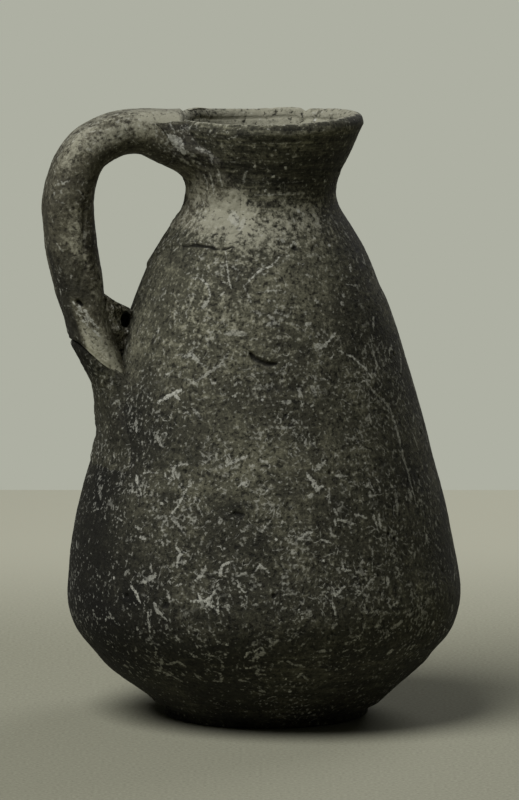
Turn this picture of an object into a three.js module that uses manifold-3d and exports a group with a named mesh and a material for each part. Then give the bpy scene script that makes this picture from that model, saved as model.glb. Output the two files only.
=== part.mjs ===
// A hand-built clay jug: a flat foot, a pear-shaped body raised in rings, a flared mouth with a rolled lip,
// and one thick pulled handle from the lip to the upper wall, with the clay that lutes it on.
// Millimetres, +Z up. The foot stands on Z = 0 with its centre at the origin, and the handle is at -X.
import * as THREE from "three";
import { mergeVertices } from "three/addons/utils/BufferGeometryUtils.js";
import Module from "manifold-3d";

// Driving dimensions
const jugHeight = 236;
const footRadius = 41;
const bellyRadius = 77.9;
const bellyHeight = 48.5;
const seamRadius = 44;
const seamHeight = 177;
const neckRadius = 29.4;
const neckHeight = 207;
const lipRadius = 37.7;
const lipWidestHeight = 232;
const lipWidth = 5.8;
const floorThickness = 9;
const footEdgeRadius = 2.5;

// Outside of the wall from the foot to the lip, as [radius, height]
const outline = [
  [footRadius, 0],
  [52.5, 11.5],
  [65.2, 24],
  [74.2, 36],
  [bellyRadius, bellyHeight],
  [75.7, 66],
  [70.8, 90],
  [64.2, 114],
  [57.6, 138],
  [50.5, 161],
  [seamRadius, seamHeight],
  [36.4, 191],
  [30.6, 201],
  [neckRadius, neckHeight],
  [30.5, 214],
  [33.7, 222],
  [lipRadius, lipWidestHeight],
];

// Wall thickness, square to the wall, as [thickness, height]
const wallThickness = [
  [9, 0],
  [8, 40],
  [7, 110],
  [6.4, 180],
  [5.8, 207],
  [5.4, 232],
];

// The pot leans a little, pulled over by its handle: [sideways shift of the axis, height]
const lean = [
  [0, 0],
  [-0.8, 45],
  [-1.6, 110],
  [-2.4, 180],
  [-1.6, 205],
  [0.6, jugHeight],
];

// Heights at which one ring of clay is laid on the next, on the outside of the wall
const footJoint = 5;
const bellyJoint = 46;
const middleJoint = 112;
const neckJoint = 202;
const lipJoint = 228.5;
const jointBevel = 5; // each joint rises this much from the outside of the wall to the inside
const lipBevel = 2.5;
const joinGap = 0.35; // left between pieces that touch

// The handle's plane is turned this much from -X towards -Y
const handleTurn = THREE.MathUtils.degToRad(13);
// Handle from the mouth to the wall: [distance from the axis, height, half thickness, half width]
const handleLine = [
  [28, 227, 12.4, 15],
  [37, 228.3, 11.4, 14],
  [49.5, 231.3, 9.2, 12.3],
  [61.5, 230, 9.2, 12],
  [73, 222.3, 9.6, 12],
  [79, 207, 10.1, 12.2],
  [78.6, 190, 10.4, 12.3],
  [75.2, 172, 9.9, 12.6],
  [71.6, 158, 8.8, 13],
  [66.2, 142, 8, 14],
  [60, 128, 6, 15],
];
const handleSquareness = 2.3; // 2 is an ellipse, and more is squarer
const furrowDepth = 0.9; // left by the fingers along the outside of the handle
const furrowWidth = 0.42; // of a quarter turn
// The handle's lower end is trimmed along a slope that falls towards the wall
const trimPoint = [71.7, 145.7];
const trimSlope = THREE.MathUtils.degToRad(40);

// Clay wiped down from the handle's root: [half the angle it spreads over, height] and [thickness, height]
const rimClaySpread = [
  [0.2, 193],
  [0.62, 199],
  [0.86, 208],
  [0.76, 217],
  [0.6, 223],
  [0.42, 228],
];
const rimClayThickness = [
  [0.5, 193],
  [0.9, 199],
  [1, 208],
  [2.6, 216],
  [3, 222],
  [1, 228],
];

// Clay drawn down under the handle's lower end, in the same terms
const wallClaySpread = [
  [0.12, 101],
  [0.3, 112],
  [0.36, 126],
  [0.3, 138],
  [0.24, 152],
];
const wallClayThickness = [
  [0.4, 101],
  [0.8, 110],
  [1.8, 117],
  [4.6, 126],
  [8, 132],
  [11.6, 137],
  [15.2, 142],
  [18.6, 146],
  [22, 152],
];

// Lump in the crotch: its plan at the bottom and at the top, as [distance out, distance to the +Y side]
const lumpPlanLow = [
  [69, -4],
  [56, -1],
  [50, 4],
  [50, 9],
  [70, 10.5],
];
const lumpPlanHigh = [
  [69, -9.6],
  [57, -2.2],
  [46, 6.5],
  [46, 10.5],
  [69, 10],
];
const lumpLow = 128;
const lumpShelf = 149; // below this its -Y side is set back
const lumpHigh = 158.3; // where it meets the wall
const lumpTopSlope = 0.62; // its top rises towards the handle

const turnSteps = 60;

const wasm = await Module();
wasm.setup();

// A smooth value that passes through [value, height] pairs, as a cubic from each pair to the next.
function alongHeight(pairs, height) {
  const last = pairs.length - 1;
  const z = THREE.MathUtils.clamp(height, pairs[0][1], pairs[last][1]);
  let i = 0;
  while (i < last - 1 && z > pairs[i + 1][1]) i += 1;
  const slopeAt = (k) => {
    const before = pairs[Math.max(k - 1, 0)];
    const after = pairs[Math.min(k + 1, last)];
    return (after[0] - before[0]) / (after[1] - before[1]);
  };
  const span = pairs[i + 1][1] - pairs[i][1];
  const t = (z - pairs[i][1]) / span;
  return (
    pairs[i][0] * (1 + 2 * t) * (1 - t) ** 2 +
    slopeAt(i) * span * t * (1 - t) ** 2 +
    pairs[i + 1][0] * t * t * (3 - 2 * t) +
    slopeAt(i + 1) * span * t * t * (t - 1)
  );
}

const outerRadius = (z) => alongHeight(outline, z);

function innerRadius(z) {
  const step = 0.5;
  const slope = (outerRadius(z + step) - outerRadius(z - step)) / (2 * step);
  return outerRadius(z) - alongHeight(wallThickness, z) * Math.hypot(1, slope);
}

// [radius, height] points on a skin of the wall, from one height to another.
function skin(radiusAt, from, to, steps) {
  return Array.from({ length: steps + 1 }, (_, i) => {
    const z = from + ((to - from) * i) / steps;
    return [radiusAt(z), z];
  });
}

// Points on an arc of an ellipse, from one angle to another, in degrees.
function arc([radius, height], across, up, from, to, steps) {
  return Array.from({ length: steps + 1 }, (_, i) => {
    const a = THREE.MathUtils.degToRad(from + ((to - from) * i) / steps);
    return [radius + across * Math.cos(a), height + up * Math.sin(a)];
  });
}

function leaned(geometry) {
  const position = geometry.attributes.position;
  for (let i = 0; i < position.count; i += 1) {
    position.setX(i, position.getX(i) + alongHeight(lean, position.getZ(i)));
  }
  return geometry;
}

// Turns a closed [radius, height] profile round the axis, which then leans as the pot does.
function turned(profile) {
  const points = profile.map(([r, z]) => new THREE.Vector2(r, z));
  const lathe = new THREE.LatheGeometry(points, turnSteps);
  return leaned(lathe.rotateX(Math.PI / 2));
}

function toSolid(geometry) {
  const bare = new THREE.BufferGeometry();
  bare.setAttribute("position", geometry.getAttribute("position"));
  bare.setIndex(geometry.index);
  const merged = mergeVertices(bare, 1e-3);
  return new wasm.Manifold(
    new wasm.Mesh({
      numProp: 3,
      vertProperties: merged.attributes.position.array,
      triVerts: new Uint32Array(merged.index.array),
    }),
  );
}

// The largest body of a solid, as a geometry. Crumbs left by a cut are dropped.
function toGeometry(solid) {
  const [body] = solid.decompose().sort((a, b) => b.volume() - a.volume());
  const mesh = body.getMesh();
  const geometry = new THREE.BufferGeometry();
  geometry.setAttribute(
    "position",
    new THREE.BufferAttribute(mesh.vertProperties, 3),
  );
  geometry.setIndex(new THREE.BufferAttribute(mesh.triVerts, 1));
  geometry.computeVertexNormals();
  return geometry;
}

// A closed skin over rings of points that all have the same number of points. The first and last rings get a cap.
function loft(rings) {
  const sides = rings[0].length;
  const vertices = rings.flat();
  const faces = [];
  for (let i = 0; i + 1 < rings.length; i += 1) {
    for (let j = 0; j < sides; j += 1) {
      const a = i * sides + j;
      const b = i * sides + ((j + 1) % sides);
      faces.push(a, b, b + sides, a, b + sides, a + sides);
    }
  }
  [rings[0], rings.at(-1)].forEach((ring, end) => {
    const middle = ring.reduce((sum, p) => sum.add(p), new THREE.Vector3());
    vertices.push(middle.divideScalar(sides));
    const first = end ? (rings.length - 1) * sides : 0;
    for (let j = 0; j < sides; j += 1) {
      const edge = [first + j, first + ((j + 1) % sides)];
      faces.push(...(end ? edge : edge.reverse()), vertices.length - 1);
    }
  });
  const geometry = new THREE.BufferGeometry().setFromPoints(vertices);
  return geometry.setIndex(faces);
}

// Rings of the pot

function foot() {
  const edge = arc(
    [footRadius - footEdgeRadius, footEdgeRadius],
    footEdgeRadius,
    footEdgeRadius,
    -90,
    0,
    3,
  );
  return turned([
    [0, 0],
    ...edge,
    [outerRadius(footJoint) - 0.3, footJoint - joinGap],
    [innerRadius(footJoint + jointBevel), floorThickness],
    [0, floorThickness - 1],
  ]);
}

// A ring of wall between two joints, which both slope up towards the inside.
function wallRing(low, high, outerSteps, innerSteps, topBevel = jointBevel) {
  const bottomGap = low === footJoint ? 0 : joinGap;
  const outside = skin(outerRadius, low + bottomGap, high, outerSteps);
  const inside = skin(
    innerRadius,
    high + topBevel,
    low + jointBevel + bottomGap,
    innerSteps,
  );
  return turned([...outside, ...inside, outside[0]]);
}

function lip() {
  const middle = lipRadius - lipWidth / 2;
  const crestRise = jugHeight - lipWidestHeight;
  const roll = arc([middle, lipWidestHeight], lipWidth / 2, crestRise, 0, 180, 8);
  const outside = skin(outerRadius, lipJoint + joinGap, lipWidestHeight - 1, 2);
  const innerFoot = lipJoint + lipBevel + joinGap;
  return turned([...outside, ...roll, [innerRadius(innerFoot), innerFoot], outside[0]]);
}

// The whole space that the pot takes up, with its hollow filled and its mouth carried on upwards.
function potSpace(gap) {
  const grown = skin((z) => outerRadius(z) + gap, 0, lipWidestHeight, 44);
  const middle = lipRadius - lipWidth / 2;
  const crest = arc(
    [middle, lipWidestHeight],
    lipWidth / 2 + gap,
    jugHeight - lipWidestHeight + gap,
    0,
    110,
    6,
  );
  const above = jugHeight + 30;
  return toSolid(
    turned([[0, 0], ...grown, ...crest, [crest.at(-1)[0], above], [0, above]]),
  );
}

// Handle

const out = new THREE.Vector3(-Math.cos(handleTurn), -Math.sin(handleTurn), 0);
const up = new THREE.Vector3(0, 0, 1);
const side = new THREE.Vector3().crossVectors(out, up);

// A point given by its distance out along the handle's plane, its height, and its distance to one side.
function inHandlePlane(reach, height, aside = 0) {
  return new THREE.Vector3()
    .addScaledVector(out, reach)
    .addScaledVector(up, height)
    .addScaledVector(side, aside);
}

// One section of the handle: a squared oval with a shallow furrow along its outside.
function handleSection(centre, normal, halfThick, halfWide, grow) {
  const sides = 20;
  return Array.from({ length: sides }, (_, j) => {
    const a = (j / sides) * 2 * Math.PI;
    const squared = (v) => Math.sign(v) * Math.abs(v) ** (2 / handleSquareness);
    const furrow = furrowDepth * Math.exp(-((Math.sin(a) / furrowWidth) ** 2));
    const outward = squared(Math.cos(a)) * (halfThick + grow);
    const sideways = squared(Math.sin(a)) * (halfWide + grow);
    const inset = Math.cos(a) > 0 ? furrow : 0;
    return inHandlePlane(
      centre.x + normal.x * (outward - inset),
      centre.y + normal.y * (outward - inset),
      sideways,
    );
  });
}

function handleSolid(grow) {
  const steps = 34;
  const line = new THREE.SplineCurve(
    handleLine.map(([reach, height]) => new THREE.Vector2(reach, height)),
  );
  const size = new THREE.SplineCurve(
    handleLine.map(([, , thick, wide]) => new THREE.Vector2(thick, wide)),
  );
  const rings = Array.from({ length: steps + 1 }, (_, i) => {
    const t = i / steps;
    const along = line.getTangent(t);
    const normal = new THREE.Vector2(-along.y, along.x);
    const { x: halfThick, y: halfWide } = size.getPoint(t);
    return handleSection(line.getPoint(t), normal, halfThick, halfWide, grow);
  });
  return toSolid(loft(rings));
}

// Everything below the sloping trim at the handle's lower end.
function belowTrim(drop) {
  const size = 120;
  const block = new THREE.BoxGeometry(size, size, size);
  block.translate(0, 0, -size / 2 - drop);
  block.rotateY(trimSlope);
  block.rotateZ(handleTurn);
  const at = inHandlePlane(...trimPoint);
  return toSolid(block.translate(at.x, at.y, at.z));
}

// A skin of clay on the outside of the wall, spread about the handle's plane and thickest in the middle.
function clayOnWall(spread, thickness, rows, columns) {
  const low = spread[0][1];
  const high = spread.at(-1)[1];
  const middle = Math.PI + handleTurn;
  const edge = 0.4;
  const shares = Array.from({ length: columns + 1 }, (_, j) => (2 * j) / columns - 1);
  const rings = Array.from({ length: rows + 1 }, (_, i) => {
    const z = low + ((high - low) * i) / rows;
    const at = (share, grow) => {
      const angle = middle + share * alongHeight(spread, z);
      const radius = outerRadius(z) + joinGap + grow;
      const x = alongHeight(lean, z) + radius * Math.cos(angle);
      return new THREE.Vector3(x, radius * Math.sin(angle), z);
    };
    const thick = Math.max(alongHeight(thickness, z) - edge, 0);
    const front = shares.map((s) => at(s, edge + thick * Math.sqrt(1 - s ** 4)));
    const back = shares.map((s) => at(s, 0)).reverse();
    return [...front, ...back];
  });
  return toSolid(loft(rings));
}

// Evenly spaced points round a closed plan.
function pointsRound(plan, count) {
  const shape = new THREE.Shape(plan.map(([x, y]) => new THREE.Vector2(x, y)));
  shape.closePath();
  return shape.getSpacedPoints(count).slice(0, count);
}

// A rough lump pressed into the crotch between the handle and the wall
function crotchLump() {
  const rows = 14;
  const sides = 24;
  const low = pointsRound(lumpPlanLow, sides);
  const high = pointsRound(lumpPlanHigh, sides);
  const rings = Array.from({ length: rows + 1 }, (_, i) =>
    low.map((point, j) => {
      const rise = i / rows;
      const height = lumpLow + (lumpHigh - lumpLow) * rise;
      const forward = THREE.MathUtils.smoothstep(height, lumpShelf - 3, lumpShelf + 1);
      const at = point.clone().lerp(high[j], forward);
      const top = lumpHigh + lumpTopSlope * (at.x - outerRadius(lumpHigh));
      const rough = 0.35 * Math.sin(2.3 * i + 1.9 * j) * Math.sin(0.7 * i - 1.3 * j);
      const z = lumpLow + (top - lumpLow) * rise + 2 * rough * rise;
      return inHandlePlane(at.x, z, at.y * (1 + 0.05 * rough));
    }),
  );
  return toSolid(loft(rings));
}

// Hole left in the lump, open on the side that faces -Y
function lumpHole() {
  const hole = new THREE.SphereGeometry(1, 12, 8);
  hole.scale(2.2, 7, 3.2);
  const at = inHandlePlane(56.2, 157.6, 0);
  return toSolid(hole.translate(at.x, at.y, at.z));
}

// Assembly

const pot = potSpace(joinGap);
const handle = handleSolid(0).subtract(pot).subtract(belowTrim(0));
const handleSpace = handleSolid(joinGap).subtract(belowTrim(joinGap));
const rimClay = clayOnWall(rimClaySpread, rimClayThickness, 12, 16).subtract(handleSpace);
const wallClaySpace = clayOnWall(wallClaySpread, wallClayThickness, 16, 14);
const wallClay = wallClaySpace.intersect(belowTrim(joinGap));
const lump = crotchLump()
  .subtract(pot)
  .subtract(handleSpace)
  .subtract(belowTrim(-joinGap))
  .subtract(lumpHole());

const claySurface = { roughness: 0.92, metalness: 0 };
const wallClayColour = new THREE.MeshStandardMaterial({
  color: 0x4a4942,
  ...claySurface,
});
const paleClayColour = new THREE.MeshStandardMaterial({
  color: 0x6e6b60,
  ...claySurface,
});
const lumpColour = new THREE.MeshStandardMaterial({
  color: 0x37342d,
  ...claySurface,
});

const jug = new THREE.Group();

function add(name, geometry, material) {
  const mesh = new THREE.Mesh(geometry, material);
  mesh.name = name;
  jug.add(mesh);
}

add("foot_disc", foot(), wallClayColour);
add("lower_wall", wallRing(footJoint, bellyJoint, 9, 5), wallClayColour);
add("belly_wall", wallRing(bellyJoint, middleJoint, 8, 5), wallClayColour);
add("upper_wall", wallRing(middleJoint, seamHeight, 8, 5), wallClayColour);
add("shoulder_ring", wallRing(seamHeight, neckJoint, 6, 4), paleClayColour);
add("mouth_flare", wallRing(neckJoint, lipJoint, 6, 4, lipBevel), wallClayColour);
add("rolled_lip", lip(), paleClayColour);
add("handle", toGeometry(handle), paleClayColour);
add("handle_top_luting", toGeometry(rimClay), paleClayColour);
add("handle_foot_luting", toGeometry(wallClay), wallClayColour);
add("crotch_lump", toGeometry(lump), lumpColour);

export default jug;
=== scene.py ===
# A hand-built, unglazed clay jug, dressed for a studio picture. Blender 4.5.
# Shapes are worked out in millimetres, with the foot on Z = 0 and the front of the jug at -Y.
import math

import bpy
import numpy as np
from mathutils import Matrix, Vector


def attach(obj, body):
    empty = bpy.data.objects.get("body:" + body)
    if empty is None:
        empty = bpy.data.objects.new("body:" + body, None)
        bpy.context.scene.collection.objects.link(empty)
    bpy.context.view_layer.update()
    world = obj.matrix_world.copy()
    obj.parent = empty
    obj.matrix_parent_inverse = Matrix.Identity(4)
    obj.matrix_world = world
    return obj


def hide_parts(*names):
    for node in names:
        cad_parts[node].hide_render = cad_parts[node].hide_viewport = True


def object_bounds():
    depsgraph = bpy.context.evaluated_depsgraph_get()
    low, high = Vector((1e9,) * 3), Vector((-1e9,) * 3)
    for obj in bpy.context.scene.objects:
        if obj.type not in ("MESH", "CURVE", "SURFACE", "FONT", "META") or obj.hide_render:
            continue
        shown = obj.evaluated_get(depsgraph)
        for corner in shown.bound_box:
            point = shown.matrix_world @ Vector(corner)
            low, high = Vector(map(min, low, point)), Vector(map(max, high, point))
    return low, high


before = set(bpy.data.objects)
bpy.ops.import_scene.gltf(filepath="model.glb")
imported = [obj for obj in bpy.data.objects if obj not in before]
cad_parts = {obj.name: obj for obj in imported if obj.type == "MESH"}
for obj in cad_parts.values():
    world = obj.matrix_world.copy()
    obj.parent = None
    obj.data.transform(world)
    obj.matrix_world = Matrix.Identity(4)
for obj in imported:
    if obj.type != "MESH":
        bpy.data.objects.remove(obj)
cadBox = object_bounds()
millimetre = 0.001
print("frame loaded:", len(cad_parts), "nodes")


# Numbers and curves

randomLattice = np.random.default_rng(7).random((48, 48, 48)) * 2 - 1
# turned, so that the lattice's own axes don't show
latticeTurn = np.array([[0.36, 0.48, -0.8], [-0.8, 0.6, 0.0], [0.48, 0.64, 0.6]])


def lumps(points, size, layer=0):
    # smooth random swells from -1 to 1, about size mm across; size may be one for each axis
    sizes = np.broadcast_to(np.asarray(size, float), (3,))
    turned = points @ latticeTurn if np.ptp(sizes) == 0 else points
    place = turned / sizes + np.array([7.31, 3.17, 5.71]) * (layer + 1)
    cell = np.floor(place).astype(int)
    part = place - cell
    part = part * part * (3 - 2 * part)
    total = np.zeros(points.shape[:-1])
    for corner in np.ndindex(2, 2, 2):
        at = (cell + corner) % 48
        share = np.prod(np.where(corner, part, 1 - part), axis=-1)
        total += share * randomLattice[at[..., 0], at[..., 1], at[..., 2]]
    return total


def swells(points, layer, waves):
    # lumps of several sizes added up: each wave is (size in mm, height), with a lattice layer of its own
    return sum(lumps(points, size, layer + i) * height for i, (size, height) in enumerate(waves))


def smoothStep(value, low, high):
    t = np.clip((value - low) / (high - low), 0, 1)
    return t * t * (3 - 2 * t)


def fade(value, low, high):
    return 1 - smoothStep(value, low, high)


def anglesRound(sides):
    return np.arange(sides) / sides * 2 * math.pi


def alongHeight(pairs, height):
    # a smooth value through [value, height] pairs, the same curve as in the CAD source
    value, at = np.array(pairs, float).T
    last = len(at) - 1
    before, after = np.maximum(np.arange(last + 1) - 1, 0), np.minimum(np.arange(last + 1) + 1, last)
    slope = (value[after] - value[before]) / (at[after] - at[before])
    z = np.clip(height, at[0], at[-1])
    i = np.clip(np.searchsorted(at, z) - 1, 0, last - 1)
    span = at[i + 1] - at[i]
    t = (z - at[i]) / span
    return (value[i] * (1 + 2 * t) * (1 - t) ** 2 + slope[i] * span * t * (1 - t) ** 2
            + value[i + 1] * t * t * (3 - 2 * t) + slope[i + 1] * span * t * t * (t - 1))


def throughPoints(points, t):
    # a uniform Catmull-Rom curve through the points, for t from 0 to 1
    rows = np.array(points, float)
    last = len(rows) - 1
    place = np.clip(t, 0, 1) * last
    i = np.minimum(place.astype(int), last - 1)
    w = (place - i)[..., None]
    p0, p1, p2, p3 = rows[np.maximum(i - 1, 0)], rows[i], rows[i + 1], rows[np.minimum(i + 2, last)]
    v0, v1 = (p2 - p0) / 2, (p3 - p1) / 2
    return (2 * p1 - 2 * p2 + v0 + v1) * w ** 3 + (-3 * p1 + 3 * p2 - 2 * v0 - v1) * w ** 2 + v0 * w + p1


def gridNormals(points):
    # unit normals of a grid of points whose columns close on themselves
    across = np.roll(points, -1, axis=1) - np.roll(points, 1, axis=1)
    along = np.gradient(points, axis=0)
    normal = np.cross(across, along)
    return normal / np.maximum(np.linalg.norm(normal, axis=-1, keepdims=True), 1e-9)


def gridNormalsOpen(points):
    # unit normals of a grid of points with free edges
    normal = np.cross(np.gradient(points, axis=1), np.gradient(points, axis=0))
    return normal / np.maximum(np.linalg.norm(normal, axis=-1, keepdims=True), 1e-9)


# Meshes

def gridFaces(rows, columns, ringClosed=False):
    # quads between rings of vertices; ringClosed joins the last ring to the first as well
    ring = np.arange(rows if ringClosed else rows - 1)[:, None]
    column = np.arange(columns)[None, :]
    after, right = (ring + 1) % rows, (column + 1) % columns
    near, far = ring * columns, after * columns
    corners = [near + column, near + right, far + right, far + column]
    return np.stack(np.broadcast_arrays(*corners), -1).reshape(-1, 4)


def capFaces(ring, centre, columns, facesDown):
    first = ring * columns + np.arange(columns)
    second = ring * columns + (np.arange(columns) + 1) % columns
    pair = (second, first) if facesDown else (first, second)
    return np.stack([*pair, np.full(columns, centre)], -1)


def buildPiece(name, nodes, material, vertices, quads, triangles=(), paint=None, normals=None):
    # one mesh object in metres that stands for its CAD nodes
    mesh = bpy.data.meshes.new(name)
    vertices = np.asarray(vertices, float).reshape(-1, 3)
    triangles = np.asarray(triangles, int).reshape(-1, 3)
    corners = np.concatenate([quads.ravel(), triangles.ravel()])
    starts = np.concatenate([np.arange(len(quads)) * 4, len(quads) * 4 + np.arange(len(triangles)) * 3])
    mesh.vertices.add(len(vertices))
    mesh.vertices.foreach_set("co", (vertices * millimetre).astype(np.float32).ravel())
    mesh.loops.add(len(corners))
    mesh.loops.foreach_set("vertex_index", corners.astype(np.int32))
    mesh.polygons.add(len(starts))
    mesh.polygons.foreach_set("loop_start", starts.astype(np.int32))
    mesh.update(calc_edges=True)
    mesh.polygons.foreach_set("use_smooth", np.ones(len(starts), bool))
    for layer, values in (paint or {}).items():
        attribute = mesh.attributes.new(layer, "FLOAT", "POINT")
        attribute.data.foreach_set("value", np.asarray(values, np.float32).ravel())
    if normals is not None:
        mesh.normals_split_custom_set_from_vertices(np.asarray(normals, float).reshape(-1, 3))
    mesh.materials.append(material)
    piece = bpy.data.objects.new(name, mesh)
    bpy.context.scene.collection.objects.link(piece)
    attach(piece, "root")
    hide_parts(*nodes)
    print(name, len(vertices), "vertices")


def paintOf(layers, pick):
    # what the materials read: every layer but the rise, as pick takes it from its grid
    return {layer: pick(values) for layer, values in layers.items() if layer != "rise"}


def buildTube(name, material, grid, middles, layers):
    # a piece from rings of points, closed at both ends by a fan round a middle point
    rows, sides = grid.shape[:2]
    count = rows * sides
    vertices = insideCad(np.concatenate([grid.reshape(-1, 3), np.reshape(middles, (2, 3))]))
    triangles = np.concatenate([capFaces(0, count, sides, True), capFaces(rows - 1, count + 1, sides, False)])
    paint = paintOf(layers, lambda values: np.append(values.ravel(), [values[0, 0], values[-1, 0]]))
    buildPiece(name, [name], material, vertices, gridFaces(rows, sides), triangles, paint)


# Materials

def linear(colour):
    # an sRGB hex colour as linear red, green, blue and alpha
    shares = [int(colour[i:i + 2], 16) / 255 for i in (1, 3, 5)]
    return [s / 12.92 if s <= 0.04045 else ((s + 0.055) / 1.055) ** 2.4 for s in shares] + [1]


def perMetre(sizeInMillimetres):
    # texture scale whose pattern repeats about every so many millimetres
    return 1000 / sizeInMillimetres


def addNode(tree, kind, settings=None, inputs=()):
    # a shader node: settings are its own properties; inputs, by name or in order, are plain values,
    # sockets to link from, or nodes whose first output in use is linked
    node = tree.nodes.new("ShaderNode" + kind)
    for name, value in (settings or {}).items():
        setattr(node, name, value)
    for name, value in inputs.items() if isinstance(inputs, dict) else enumerate(inputs):
        if isinstance(value, bpy.types.Node):
            value = next(socket for socket in value.outputs if socket.enabled)
        if isinstance(value, bpy.types.NodeSocket):
            tree.links.new(value, node.inputs[name])
        else:
            node.inputs[name].default_value = value
    return node


def emptyTree(owner):
    # the node tree of a material or world, with nothing in it yet
    owner.use_nodes = True
    owner.node_tree.nodes.clear()
    return owner.node_tree


# Node settings that recur. Map Range's inputs in order are the value, from low, from high, to low, to high;
# Multiply Add's are factor, factor, addend; Mix takes colours at its inputs 6 and 7.
multiply, multiplyAdd = {"operation": "MULTIPLY"}, {"operation": "MULTIPLY_ADD"}
smoothly, inColour = {"interpolation_type": "SMOOTHSTEP"}, {"data_type": "RGBA"}
colourTimes = {"data_type": "RGBA", "blend_type": "MULTIPLY"}


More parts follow.
